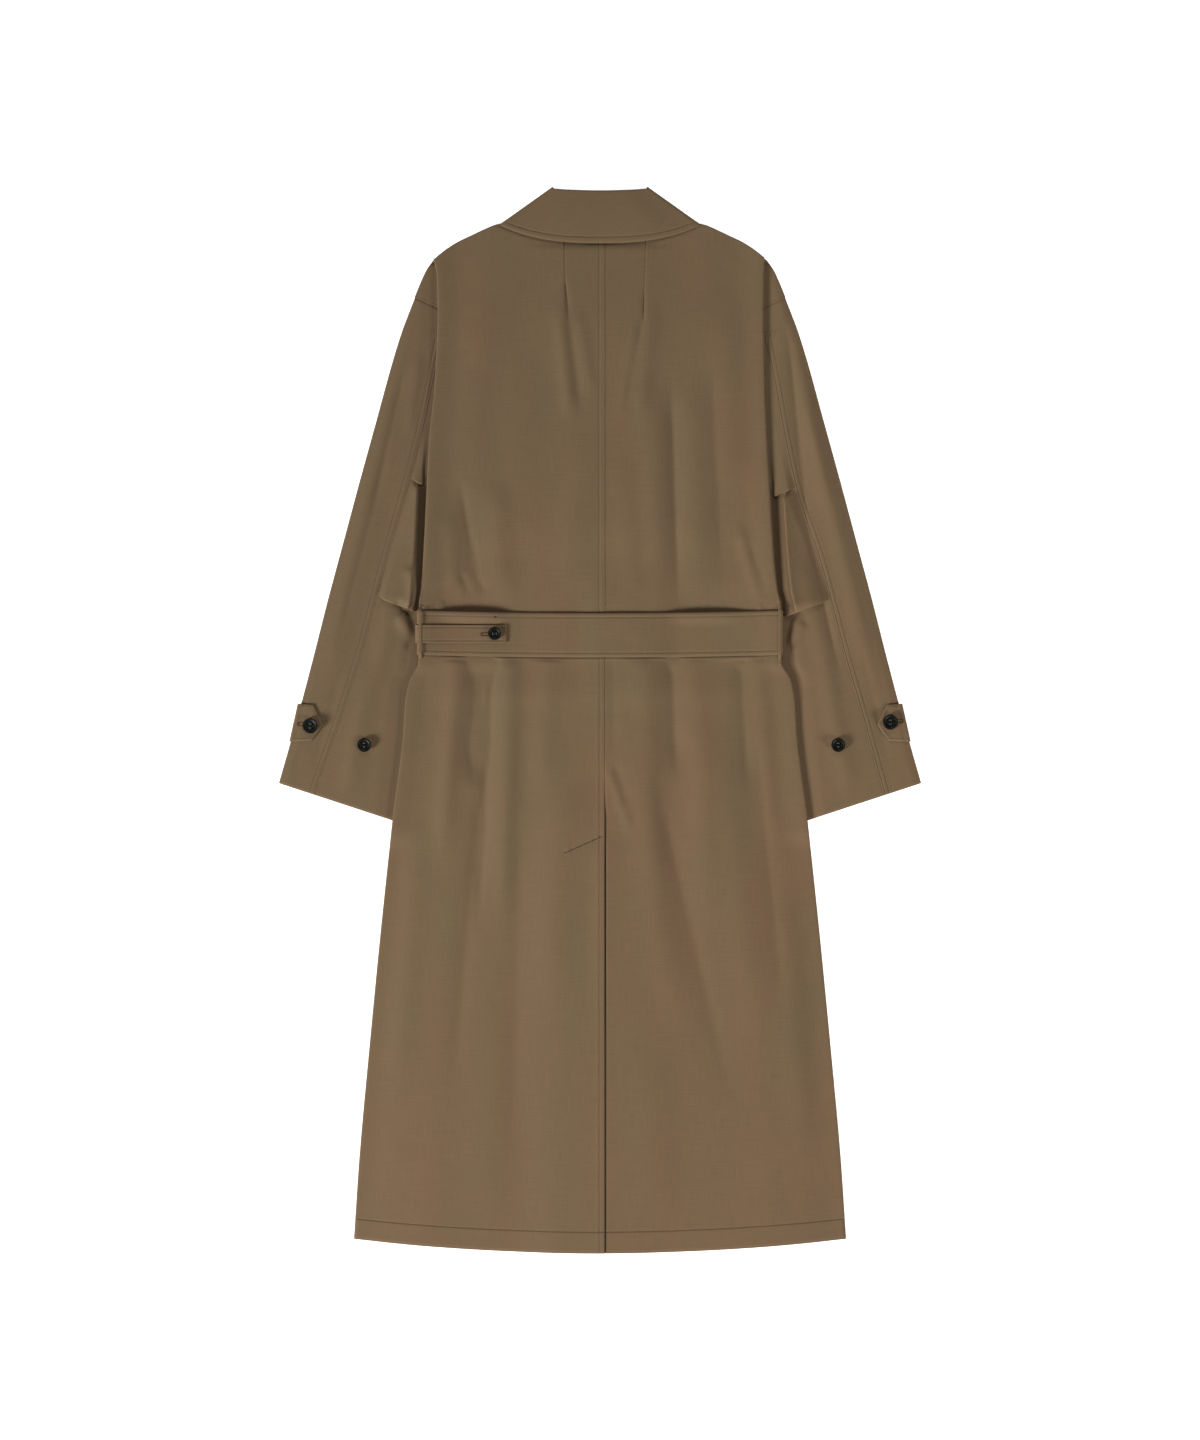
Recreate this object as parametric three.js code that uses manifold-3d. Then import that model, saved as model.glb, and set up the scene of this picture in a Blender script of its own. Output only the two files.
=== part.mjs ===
// A belted trench coat laid flat on its front, with its back up.
// Millimetres. +X is to the viewer's right, +Y towards the collar, +Z up from the surface it lies on.
// Every cloth piece is a wall of one thickness, worked out from sections and laid layer on layer.
import * as THREE from "three";
import { mergeVertices } from "three/addons/utils/BufferGeometryUtils.js";
import Module from "manifold-3d";

const wasm = await Module();
wasm.setup();

// Cloth and layers
const CLOTH = 1.2; // wall of one thickness of cloth with its turnings
const SEAM = 0.3; // parting between pieces that are sewn edge to edge
const PITCH = 2.0; // step from the middle of one layer to the middle of the next
const FLOOR = CLOTH / 2; // middle height of a layer that rests on the surface
const ON_SLEEVE = 2 * PITCH; // what two layers of sleeve lift the body's side by

// Body
const BACK_NECK = { centre: 577, shoulder: 590, half: 75 };
const FRONT_NECK = { centre: 515, shoulder: 588, half: 75 };
const RETURN = 16; // how far the back's side turns under before its seam
const FRONT_LAP = 32; // each front passes the centre by this much
const HEM = { centre: -612.5, rise: 14.5, at: 270 };
const FRONT_HEM_SHORTER = 2;
const UNDERARM = 244; // height of the underarm point, where the armhole ends
const VENT = { top: -128, lap: 42 }; // the underlap's top and its width
const VENT_EDGE = 4.9; // the upper lap's edge, right of the centre line
const SEAM_LINE = -0.7; // the centre back seam above the belt

// Sleeve
const SLEEVE_TOP = 484.6; // where the armhole seam meets the sleeve's outer edge
const CUFF = -73; // the cuff's outer corner
const ARMHOLE_SLOPE = 0.456;
const CUFF_SLOPE = 0.328;
const SLEEVE_TUCKED = 17; // what the body's side covers of the sleeve
const SLEEVE_FOLD = PITCH / 2; // bend radius at a sleeve's folded edges
const UNDER_SLEEVE_FROM = 456;
const FRONT_SLEEVE_SEAM = 14; // the front seam lies this far out from the inner fold

// Belt
const BELT = { middle: 99.7, sag: 3, half: 207, width: 50, wall: 1.2 };
const BELT_ENDS = { under: 52, over: 8 }; // the two ends pass each other at the centre front
const STRAP = { end: -108, middle: 98.2, width: 20 };
const LOOP = { x: 204.5, width: 4.5, wall: 1.0, top: 135, bottom: 62 };

// Buttons, four holes
const SMALL_BUTTON = 15;
const CUFF_BUTTON = 16;
const BUTTON = 17.5;
const BUTTON_HEIGHT = 3.0;
const BUTTON_FOOT = 1.4; // the underside's edge is this far inside the rim
const HOLE = { radius: 0.95, off: 0.13 }; // its place is a share of the button's size

// Shoulder line and the neck, half-width to height
const SHOULDER = [
  { x: 75, y: 588 },
  { x: 100, y: 571 },
  { x: 110, y: 563 },
  { x: 119, y: 565 },
  { x: 133, y: 562.5 },
  { x: 147, y: 556 },
  { x: 162, y: 549 },
  { x: 175, y: 541 },
  { x: 184, y: 534 },
  { x: 192, y: 527 },
];

// Sleeve's outer edge, half-width by height
const SLEEVE_OUT = [
  { y: 527, x: 192.5 },
  { y: 515, x: 200 },
  { y: 503, x: 205.5 },
  { y: 492, x: 210 },
  { y: 469, x: 219 },
  { y: 448, x: 227 },
  { y: 413, x: 238 },
  { y: 344, x: 257 },
  { y: 275, x: 276 },
  { y: 206, x: 294.5 },
  { y: 137, x: 313 },
  { y: 68, x: 330.5 },
  { y: 0, x: 348.5 },
  { y: -73, x: 369.2 },
];

// Body's side edge, half-widths by height, and the radius that its fold rolls with
const SIDE = [
  { y: 527, left: 191.5, right: 189, roll: 1.4 },
  { y: 506, left: 187.5, right: 188, roll: 2.0 },
  { y: 474, left: 186.5, right: 187.5, roll: 2.6 },
  { y: 386, left: 190, right: 189, roll: 2.6 },
  { y: 321, left: 196.5, right: 191.5, roll: 2.6 },
  { y: 270, left: 199, right: 194.5, roll: 2.8 },
  { y: 189, left: 203, right: 199.5, roll: 2.8 },
  { y: 148, left: 206, right: 204, roll: 2.2 },
  { y: 131, left: 208, right: 207.5, roll: 2.0 },
  { y: 66, left: 208.5, right: 208.5, roll: 2.0 },
  { y: 45, left: 218.5, right: 219.5, roll: 2.2 },
  { y: 22, left: 223.5, right: 223.5, roll: 2.4 },
  { y: -22, left: 226.6, right: 226.6, roll: 2.4 },
  { y: -116, left: 238.5, right: 238.5, roll: 2.2 },
  { y: -231, left: 251, right: 251, roll: 2.0 },
  { y: -369, left: 264.5, right: 264.5, roll: 2.0 },
  { y: -507, left: 277, right: 277, roll: 1.8 },
  { y: -597, left: 283, right: 283, roll: 1.6 },
];

// Back seam of the sleeve, half-widths by height
const BACK_SEAM = [
  { y: 435, left: 183, right: 190.5 },
  { y: 395, left: 191, right: 199 },
  { y: 321, left: 207, right: 212.5 },
  { y: 256, left: 224, right: 227.5 },
  { y: 183, left: 245, right: 252 },
  { y: 122, left: 261, right: 268.5 },
  { y: 74, left: 274, right: 281 },
  { y: 0, left: 298, right: 302.5 },
  { y: -79, left: 325.5, right: 324.3 },
  { y: -110, left: 335, right: 333 },
];

// Where the body rises over what lies under it, and the length of each ramp
const RAMP = {
  belt: { low: 50, high: 147, run: 15 },
  beltEnds: { from: -12, to: 74, run: 14 },
  leaf: { half: 134, run: 14, low: 466, rise: 18 },
  cuffs: { low: -152, run: 26 },
  underarm: { above: 20 },
  vent: { from: -60, run: 12, above: 30, rise: 24 },
  strip: { before: 22, run: 17 },
  lap: { half: 48, run: 12, top: 548, fall: 9 },
};
const SIDE_BLEND = 30; // the back rises to its rolled side edge over this
const SIDE_FREE = 22; // its folds die out over this much of the side
const SIDE_FLAT = 42; // and it takes its level this far in from the edge
const CROWN = 1.6; // low crown of the free cloth, back and sleeves

// Shoulder cap: where its inner end is, and where it rises to the turned-under part of the back
const CAP = { inner: 174, rise: 188, run: 9 };
const CAP_ROWS = [523, 510, 497, SLEEVE_TOP + SEAM];
const FRONT_ARMHOLE = 211.4; // the fronts' outermost half-width above the armhole seam

// Heights of the sections across the body, neck to hem
const BODY_ROWS = [
  527, 510, 497, 484.9, 466.2, 436, 400, 364, 328, 295, 264, 244, 214, 184, 163, 148, 131, 66, 50,
  28, -10, -60, -126, -152, -220, -300, -380, -460, -530, -597,
];

// Heights of the sections across the sleeve, measured at its outer edge
const SLEEVE_ROWS = [
  470, 456, 432, 405, 378, 350, 322, 270, 245, 220, 195, 135, 108, 80, 50, 20, -10, -40,
];

// Tucks sewn into the under sleeve at the elbow: the upper part steps over the lower
const TUCKS = [
  { left: 299, right: 288, high: 2.4, run: 26 },
  { left: 162, right: 156.5, high: 3.4, run: 34 },
];

// Folds of the back: a soft ridge or trough from one point to another
const BACK_FOLDS = [
  { name: "left neck pleat", x0: -42, y0: 530, x1: -40, y1: 455, wide: 9, high: 1.6 },
  { name: "its release", x0: -38, y0: 474, x1: -20, y1: 340, wide: 11, high: 2.2 },
  { name: "right neck pleat", x0: 54, y0: 530, x1: 50, y1: 450, wide: 9, high: 1.6 },
  { name: "its release", x0: 50, y0: 466, x1: 30, y1: 350, wide: 11, high: 2.2 },
  { name: "long right trough", x0: 84, y0: 300, x1: 90, y1: 136, wide: 13, high: -3.0 },
  { name: "ridge beside it", x0: 112, y0: 330, x1: 118, y1: 140, wide: 18, high: 3.0 },
  { name: "ridge before it", x0: 58, y0: 320, x1: 62, y1: 140, wide: 16, high: 2.4 },
  { name: "left waist trough", x0: -158, y0: 250, x1: -138, y1: 140, wide: 11, high: -2.6 },
  { name: "left waist ridge", x0: -112, y0: 270, x1: -106, y1: 140, wide: 18, high: 2.6 },
  { name: "left blade", x0: -140, y0: 480, x1: -150, y1: 250, wide: 24, high: 2.2 },
  { name: "right blade", x0: 150, y0: 480, x1: 152, y1: 260, wide: 24, high: 2.2 },
  { name: "left puff on belt", x0: -190, y0: 150, x1: -100, y1: 152, wide: 14, high: 3.0 },
  { name: "right puff on belt", x0: 78, y0: 152, x1: 176, y1: 150, wide: 14, high: 3.0 },
  { name: "left skirt trough", x0: -126, y0: 55, x1: -160, y1: -320, wide: 15, high: -3.0 },
  { name: "left skirt ridge", x0: -88, y0: 52, x1: -104, y1: -360, wide: 20, high: 3.0 },
  { name: "left side ridge", x0: -178, y0: 20, x1: -206, y1: -380, wide: 20, high: 2.8 },
  { name: "right skirt trough", x0: 70, y0: 55, x1: 150, y1: -440, wide: 15, high: -3.0 },
  { name: "right skirt ridge", x0: 108, y0: 50, x1: 186, y1: -380, wide: 20, high: 3.2 },
  { name: "right inner ridge", x0: 38, y0: 40, x1: 84, y1: -420, wide: 18, high: 2.6 },
  { name: "right side ridge", x0: 172, y0: 48, x1: 208, y1: -200, wide: 16, high: 2.2 },
];

// Folds of the sleeves, as half-widths, on the side that is named
const SLEEVE_FOLDS = [
  { side: "left", x0: 236, y0: 400, x1: 318, y1: 20, wide: 15, high: 2.6 },
  { side: "left", x0: 262, y0: 60, x1: 292, y1: -90, wide: 12, high: 2.0 },
  { side: "right", x0: 234, y0: 400, x1: 318, y1: 20, wide: 13, high: 2.8 },
  { side: "right", x0: 214, y0: 440, x1: 256, y1: 200, wide: 9, high: -1.0 },
  { side: "right", x0: 258, y0: 60, x1: 288, y1: -90, wide: 12, high: 2.2 },
];

const LEFT = { key: "left", sign: -1 };
const RIGHT = { key: "right", sign: 1 };

const lerp = (a, b, t) => a + (b - a) * t;

// Eases from 0 to 1 as t goes from 0 to 1.
function ease(t) {
  const c = Math.min(1, Math.max(0, t));
  return c * c * (3 - 2 * c);
}

// Reads a table that is sorted by one column, straight between its rows.
function read(table, by, value, column) {
  const falling = table[0][by] > table[table.length - 1][by];
  let k = 1;
  while (k < table.length - 1 && (falling ? table[k][by] > value : table[k][by] < value)) k += 1;
  const a = table[k - 1];
  const b = table[k];
  const t = Math.min(1, Math.max(0, (value - a[by]) / (b[by] - a[by])));
  return lerp(a[column], b[column], t);
}

const sideEdge = (y, side) => read(SIDE, "y", y, side.key);
const sleeveInner = (y, side) => sideEdge(y, side) - SLEEVE_TUCKED;

// Evenly spaced numbers from a to b, ends included.
const spread = (a, b, count) => Array.from({ length: count }, (_, k) => lerp(a, b, k / (count - 1)));

// Sum of soft ridges and troughs: high along a line, falling off across it, easing at both ends.
function folds(table, x, y) {
  let sum = 0;
  for (const f of table) {
    const dx = f.x1 - f.x0;
    const dy = f.y1 - f.y0;
    const length = Math.hypot(dx, dy);
    const along = ((x - f.x0) * dx + (y - f.y0) * dy) / (length * length);
    const across = ((x - f.x0) * dy - (y - f.y0) * dx) / length;
    const ends = ease((along + 0.08) / 0.3) * ease((1.08 - along) / 0.35);
    sum += f.high * ends * Math.exp(-((across / f.wide) ** 2));
  }
  return sum;
}

// How much of each thing that lifts the body lies under a point, from 0 to 1
const onBelt = (y) => ease((y - RAMP.belt.low) / RAMP.belt.run) * ease((RAMP.belt.high - y) / RAMP.belt.run);
const belowUnderarm = (y) => ease((UNDERARM + RAMP.underarm.above - y) / RAMP.underarm.above);
const onCuffs = (y) => ease((y - RAMP.cuffs.low) / RAMP.cuffs.run);

function onBeltEnds(x) {
  const { from, to, run } = RAMP.beltEnds;
  return ease((x - from) / run) * ease((to - x) / run);
}

function onCollarLeaf(x, y) {
  const { half, run, low, rise } = RAMP.leaf;
  return ease((half - Math.abs(x)) / run) * ease((y - low) / rise);
}

function onVent(x, y) {
  const { from, run, above, rise } = RAMP.vent;
  return ease((x - from) / run) * ease((VENT.top + above - y) / rise);
}

function onLap(x, y) {
  const { half, run, top, fall } = RAMP.lap;
  return ease((x + half) / run) * ease((half - x) / run) * ease((top - y) / fall);
}

// Height that the fronts rise to over the sleeves' tucked strips, next to their side seams.
function overStrip(x, y, side) {
  const ramp = ease((Math.abs(x) - sleeveInner(y, side) + RAMP.strip.before) / RAMP.strip.run);
  return ON_SLEEVE * ramp * onCuffs(y) * belowUnderarm(y);
}

// Middle height of the right front, which lies lowest.
function frontLow(x, y) {
  const side = x < 0 ? LEFT : RIGHT;
  const belt = PITCH * onBelt(y) * (1 + onBeltEnds(x));
  return FLOOR + belt + PITCH * onCollarLeaf(x, y) + overStrip(x, y, side);
}

// Middle height of the left front, which laps over the right one at the centre.
const frontHigh = (x, y) => frontLow(x, y) + PITCH * ease((x + FRONT_LAP + 14) / 12);

// Middle height of the part of the back that is turned under at the side.
const returnHeight = (y) => FLOOR + ON_SLEEVE * onCuffs(y) + PITCH * onBelt(y);

// Middle height of the back. It lies a layer above the fronts, rises to its rolled side edges, and
// carries the folds, which die out under the belt, under the collar and at the sides.
function backHeight(x, y, side) {
  const edge = sideEdge(y, side);
  const roll = read(SIDE, "y", y, "roll");
  const inward = Math.max(0, edge - roll - Math.abs(x));
  const inside = Math.sign(x) * Math.min(Math.abs(x), edge - SIDE_FLAT);
  const flat = frontLow(inside, y) + PITCH * (1 + onLap(x, y));
  const rolled = returnHeight(y) + 2 * roll;
  const free = (1 - onBelt(y)) * ease((540 - y) / 30) * ease(inward / SIDE_FREE);
  const crown = CROWN * (1 - (x / edge) ** 2);
  const lifted = flat + free * (crown + Math.max(-crown - 0.2, folds(BACK_FOLDS, x, y)));
  return lerp(lifted, rolled, Math.exp(-((inward / SIDE_BLEND) ** 2)));
}

// Top edge of a panel: its neck curve, then the shoulder line.
function panelTop(x, neck) {
  const a = Math.abs(x);
  if (a >= neck.half) return read(SHOULDER, "x", a, "y");
  return lerp(neck.centre, neck.shoulder, (a / neck.half) ** 1.6);
}

// Hem line: lowest at the centre, rising to the sides.
const hemLine = (x) => HEM.centre + HEM.rise * (x / HEM.at) ** 2;

// Height on the page of a point of a body section: sections bend to the shoulder and to the hem.
function sectionY(x, row, neck, shorter) {
  const top = ease((row - 440) / (527 - 440));
  const low = ease((-470 - row) / (597 - 470));
  const toTop = top * (panelTop(x, neck) - 527);
  return row + toTop + low * (hemLine(x) + shorter + 597);
}

// Wall about a grid of mid-surface points: rows of equal length, moved out to both sides along the
// grid's normals, closed round its rim. Cells are halved along the same slant in every layer.
function wallMesh(rows, wall) {
  const m = rows.length;
  const n = rows[0].length;
  const sub = (a, b) => [a[0] - b[0], a[1] - b[1], a[2] - b[2]];
  const outer = [];
  const inner = [];
  for (let i = 0; i < m; i += 1) {
    for (let j = 0; j < n; j += 1) {
      const u = sub(rows[i][Math.min(j + 1, n - 1)], rows[i][Math.max(j - 1, 0)]);
      const v = sub(rows[Math.min(i + 1, m - 1)][j], rows[Math.max(i - 1, 0)][j]);
      const across = new THREE.Vector3(...u);
      const normal = across.cross(new THREE.Vector3(...v)).normalize().multiplyScalar(wall / 2);
      const p = rows[i][j];
      outer.push([p[0] + normal.x, p[1] + normal.y, p[2] + normal.z]);
      inner.push([p[0] - normal.x, p[1] - normal.y, p[2] - normal.z]);
    }
  }
  const at = (i, j) => i * n + j;
  const back = m * n;
  const faces = [];
  for (let i = 0; i < m - 1; i += 1) {
    for (let j = 0; j < n - 1; j += 1) {
      const loop = [at(i, j), at(i, j + 1), at(i + 1, j + 1), at(i + 1, j)];
      const span = sub(rows[i + 1][j + 1], rows[i][j]);
      if (span[0] * span[1] < 0) loop.push(loop.shift());
      const [a, b, c, d] = loop;
      faces.push(a, b, c, a, c, d);
      faces.push(back + a, back + c, back + b, back + a, back + d, back + c);
    }
  }
  const rim = [];
  for (let j = 0; j < n; j += 1) rim.push(at(0, j));
  for (let i = 1; i < m; i += 1) rim.push(at(i, n - 1));
  for (let j = n - 2; j >= 0; j -= 1) rim.push(at(m - 1, j));
  for (let i = m - 2; i > 0; i -= 1) rim.push(at(i, 0));
  rim.forEach((a, k) => {
    const b = rim[(k + 1) % rim.length];
    faces.push(b, a, back + a, b, back + a, back + b);
  });
  return { points: [...outer, ...inner].flat(), faces };
}

// Three.js geometry of a wall.
function wallGeometry(rows, wall = CLOTH) {
  const { points, faces } = wallMesh(rows, wall);
  const geometry = new THREE.BufferGeometry();
  geometry.setAttribute("position", new THREE.Float32BufferAttribute(points, 3));
  geometry.setIndex(faces);
  return geometry;
}

// A closed geometry as a solid that can be joined or cut.
function solidOf(geometry) {
  const bare = geometry.clone();
  bare.deleteAttribute("normal");
  bare.deleteAttribute("uv");
  const merged = mergeVertices(bare, 1e-4);
  return new wasm.Manifold(
    new wasm.Mesh({
      numProp: 3,
      vertProperties: new Float32Array(merged.attributes.position.array),
      triVerts: new Uint32Array(merged.index.array),
    }),
  );
}

// A joined or cut solid as a geometry again.
function geometryOf(solid) {
  const mesh = solid.getMesh();
  const geometry = new THREE.BufferGeometry();
  geometry.setAttribute("position", new THREE.Float32BufferAttribute(mesh.vertProperties, 3));
  geometry.setIndex([...mesh.triVerts]);
  return geometry;
}

// Points of a half turn in a section, from the upper layer down to the lower one.
function halfTurn(x, low, radius, steps, sign) {
  return Array.from({ length: steps }, (_, k) => {
    const angle = (Math.PI * (k + 1)) / steps;
    return { x: sign * (x + radius * Math.sin(angle)), z: low + radius + radius * Math.cos(angle) };
  });
}

// Where a line that slopes down inwards from a point of the sleeve's outer edge meets a curve.
function slopedCrossing(curve, out, row, slope) {
  let x = curve(row);
  for (let k = 0; k < 8; k += 1) x = curve(row - slope * (out - x));
  return x;
}

// Places across a back panel from its centre edge to where its side starts to roll.
const backColumns = (start, turn) => spread(start, turn, 14);

// Back panel: centre edge out to the rolled side edge, round it and under to the side seam.
// The right one has the vent's underlap, whose top slopes.
function backPanel(side) {
  const right = side === RIGHT;
  return BODY_ROWS.map((row) => {
    const belowBelt = row < BELT.middle;
    const centre = belowBelt ? VENT_EDGE : SEAM_LINE;
    const start = centre + (side.sign * SEAM) / 2;
    const roll = read(SIDE, "y", row, "roll");
    const turn = sideEdge(row, side) - roll - CLOTH / 2;
    const lap = right && row < VENT.top - 10 ? -VENT.lap : start;
    const under = right ? spread(lap, start + 1, 4).slice(0, 3) : [];
    const across = [...under, ...backColumns(start + (right ? 1 : 0), side.sign * turn)];
    const low = returnHeight(row);
    const path = across.map((x) => {
      const y = sectionY(x, row, BACK_NECK, 0);
      const over = right ? 0 : PITCH * onVent(x, y);
      return [x, y, backHeight(x, y, side) + over];
    });
    const outer = sectionY(side.sign * turn, row, BACK_NECK, 0);
    const edge = sideEdge(row, side) - RETURN;
    halfTurn(turn, low, roll, 4, side.sign).forEach((p) => path.push([p.x, outer, p.z]));
    path.push([side.sign * lerp(turn, edge, 0.5), outer, low]);
    path.push([side.sign * edge, outer, low]);
    return path;
  });
}

// Cap of the shoulder that shows beyond the back's side fold: from the shoulder down to the armhole
// seam. Its inner end rises to the turned-under part, which it is one with.
function shoulderCap(side) {
  return CAP_ROWS.map((row, k) => {
    const slope = ARMHOLE_SLOPE * (k / (CAP_ROWS.length - 1));
    const out = read(SLEEVE_OUT, "y", row, "x");
    return spread(CAP.inner, out, 7).map((x) => {
      const rise = PITCH * ease((CAP.rise - x) / CAP.run);
      return [side.sign * x, row - slope * (out - x), FLOOR + PITCH + rise];
    });
  });
}

// Half-widths at which a front is sampled: its lap, the belt's crossed ends, the collar's leaf and
// the sleeve's tucked strip each have a place where it steps up.
function frontColumns(side, edge) {
  const middle = side === LEFT ? [-2, 12, 36, 50, 84] : [-12, 2, 36, 60, 76];
  return [-FRONT_LAP, ...middle, 118, 136, edge - 24, edge - 5, edge];
}

// Front panel, plain: centre edge out to the side seam; above the underarm it stops at the armhole,
// and at the shoulder it reaches the outline.
function frontPanel(side) {
  const height = side === LEFT ? frontHigh : frontLow;
  return BODY_ROWS.map((row) => {
    const shoulder = read(SLEEVE_OUT, "y", row, "x");
    const seam = sideEdge(row, side) - RETURN - SEAM;
    const edge = row > SLEEVE_TOP ? Math.min(shoulder, FRONT_ARMHOLE) : seam;
    return frontColumns(side, edge).map((half) => {
      const x = side.sign * half;
      const y = sectionY(x, row, FRONT_NECK, FRONT_HEM_SHORTER);
      return [x, y, height(x, y)];
    });
  });
}

// Heights of the sleeve's sections on one side, with a pair at each tuck.
function sleeveRows(side) {
  const rows = [SLEEVE_TOP, ...SLEEVE_ROWS, CUFF];
  TUCKS.forEach((t) => rows.push(t[side.key], t[side.key] - 3));
  return rows.sort((a, b) => b - a);
}

// Slope of a sleeve section, from the armhole's to the cuff's.
const sleeveSlope = (row) => lerp(ARMHOLE_SLOPE, CUFF_SLOPE, (SLEEVE_TOP - row) / (SLEEVE_TOP - CUFF));

// Middle height of the sleeve's upper layer, flat where the body lies on it.
function sleeveHeight(x, y, side) {
  const clear = ease((x - sideEdge(y, side) - 6) / 16);
  const table = SLEEVE_FOLDS.filter((f) => f.side === side.key);
  const outer = read(SLEEVE_OUT, "y", y, "x");
  const crown = CROWN * ease((outer - x) / 18);
  return FLOOR + PITCH + clear * crown * (1 + Math.max(-0.8, folds(table, x, y)) / CROWN);
}

// Rise of the under sleeve above each tuck's edge, which drops back below it.
function tuckRise(row, x, seam, y, side) {
  const across = ease((seam - x) / 10) * ease((x - sideEdge(y, side) - 2) / 10);
  let rise = 0;
  for (const t of TUCKS) {
    const above = row - t[side.key];
    if (above >= 0) rise += t.high * Math.exp(-above / t.run);
  }
  return rise * across;
}

// Top sleeve: from the back seam over the outer fold and under to the front seam.
function topSleeve(side) {
  return sleeveRows(side).map((row) => {
    const out = read(SLEEVE_OUT, "y", row, "x") - CLOTH / 2;
    const slope = sleeveSlope(row);
    const yAt = (x) => row - slope * (out - x);
    const inner = slopedCrossing((y) => sleeveInner(y, side), out, row, slope);
    const seam = slopedCrossing((y) => read(BACK_SEAM, "y", y, side.key), out, row, slope);
    const whole = row > UNDER_SLEEVE_FROM;
    const start = whole ? inner + 1 : seam + SEAM / 2;
    const end = whole ? inner + 1 : inner + FRONT_SLEEVE_SEAM + SEAM / 2;
    const turn = out - SLEEVE_FOLD;
    const path = spread(start, turn, 8).map((x) => [side.sign * x, yAt(x), sleeveHeight(x, yAt(x), side)]);
    const fold = halfTurn(turn, FLOOR, SLEEVE_FOLD, 3, side.sign);
    fold.forEach((p) => path.push([p.x, yAt(Math.abs(p.x)), p.z]));
    spread(turn, end, 4).slice(1).forEach((x) => path.push([side.sign * x, yAt(x), FLOOR]));
    return path;
  });
}

// Under sleeve: from the back seam over the inner fold and under to the front seam, with its tucks.
function underSleeve(side) {
  const rows = sleeveRows(side).filter((row) => row <= UNDER_SLEEVE_FROM);
  return rows.map((row) => {
    const out = read(SLEEVE_OUT, "y", row, "x") - CLOTH / 2;
    const slope = sleeveSlope(row);
    const yAt = (x) => row - slope * (out - x);
    const inner = slopedCrossing((y) => sleeveInner(y, side), out, row, slope);
    const seam = slopedCrossing((y) => read(BACK_SEAM, "y", y, side.key), out, row, slope);
    const start = seam - SEAM / 2;
    const turn = inner + SLEEVE_FOLD;
    const path = spread(start, turn, 7).map((x) => {
      const z = sleeveHeight(x, yAt(x), side) + tuckRise(row, x, seam, yAt(x), side);
      return [side.sign * x, yAt(x), z];
    });
    const fold = halfTurn(-turn, FLOOR, SLEEVE_FOLD, 3, -side.sign);
    fold.forEach((p) => path.push([p.x, yAt(Math.abs(p.x)), p.z]));
    const end = inner + FRONT_SLEEVE_SEAM - SEAM / 2;
    spread(turn, end, 3).slice(1).forEach((x) => path.push([side.sign * x, yAt(x), FLOOR]));
    return path;
  });
}

// What is cut away of the under sleeve's inner fold, so that the armhole is open to the body.
const ARMHOLE_CUT = { top: 470, inside: 150, depth: 12, below: 3 };

function armholeCut(side) {
  const { top, inside, depth, below } = ARMHOLE_CUT;
  const shape = new THREE.Shape();
  shape.moveTo(side.sign * inside, UNDERARM);
  spread(UNDERARM, top, 6).forEach((y) => shape.lineTo(side.sign * (sleeveInner(y, side) + CLOTH), y));
  shape.lineTo(side.sign * inside, top);
  return new THREE.ExtrudeGeometry(shape, { depth, bevelEnabled: false }).translate(0, 0, -below);
}

// Collar: the fall lies over the back and folds round two slanted lines to leaves under the fronts.
const COLLAR = {
  top: { x: 55, y: 612, dip: 4.8 },
  corner: { x: 114.6, y: 569.6 },
  centre: 547.2,
  leafEnd: { top: { x: 16, y: 540 }, point: { x: 76, y: 487 } },
  height: FLOOR + 3 * PITCH,
  crown: 2.4,
  rows: 5,
};
const STAND_HALF = 58; // the stand reaches this far to each side
const COLLAR_BEND = (COLLAR.height - FLOOR) / 2;

// Slanted fold line on one side, drawn in by the bend so that its outside is on the outline.
function collarFold(sign) {
  const dx = COLLAR.corner.x - COLLAR.top.x;
  const dy = COLLAR.corner.y - COLLAR.top.y;
  const length = Math.hypot(dx, dy);
  const inward = { x: (sign * dy) / length, y: -dx / length };
  const by = COLLAR_BEND + CLOTH / 2;
  const place = (p) => [sign * p.x + inward.x * by, p.y + inward.y * by];
  return { top: place(COLLAR.top), low: place(COLLAR.corner), inward };
}

// Sections of the collar from one leaf's end to its fold and up to the fall, on one side.
function collarLeaf(sign) {
  const fold = collarFold(sign);
  const sections = [];
  const end = COLLAR.leafEnd;
  for (const t of [0, 0.34, 0.67]) {
    const top = [lerp(sign * end.top.x, fold.top[0], t), lerp(end.top.y, fold.top[1], t), FLOOR];
    const low = [lerp(sign * end.point.x, fold.low[0], t), lerp(end.point.y, fold.low[1], t), FLOOR];
    sections.push({ top, low, crown: 0 });
  }
  for (let k = 0; k <= 5; k += 1) {
    const angle = (Math.PI * k) / 5;
    const out = -COLLAR_BEND * Math.sin(angle);
    const z = FLOOR + COLLAR_BEND * (1 - Math.cos(angle));
    const bend = (p) => [p[0] + fold.inward.x * out, p[1] + fold.inward.y * out, z];
    sections.push({ top: bend(fold.top), low: bend(fold.low), crown: 0 });
  }
  return sections;
}

// Sections of the part of the fall that lies over the back, between the two folds.
function collarMiddle() {
  const fold = collarFold(1);
  return spread(-1, 1, 11).slice(1, -1).map((t) => {
    const topY = lerp(COLLAR.top.y - COLLAR.top.dip, fold.top[1], t * t);
    const lowY = lerp(COLLAR.centre, fold.low[1], Math.abs(t) ** 2.6);
    const crown = COLLAR.crown * ease((1 - Math.abs(t)) / 0.5);
    const z = COLLAR.height;
    return { top: [t * fold.top[0], topY, z], low: [t * fold.low[0], lowY, z], crown };
  });
}

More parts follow.
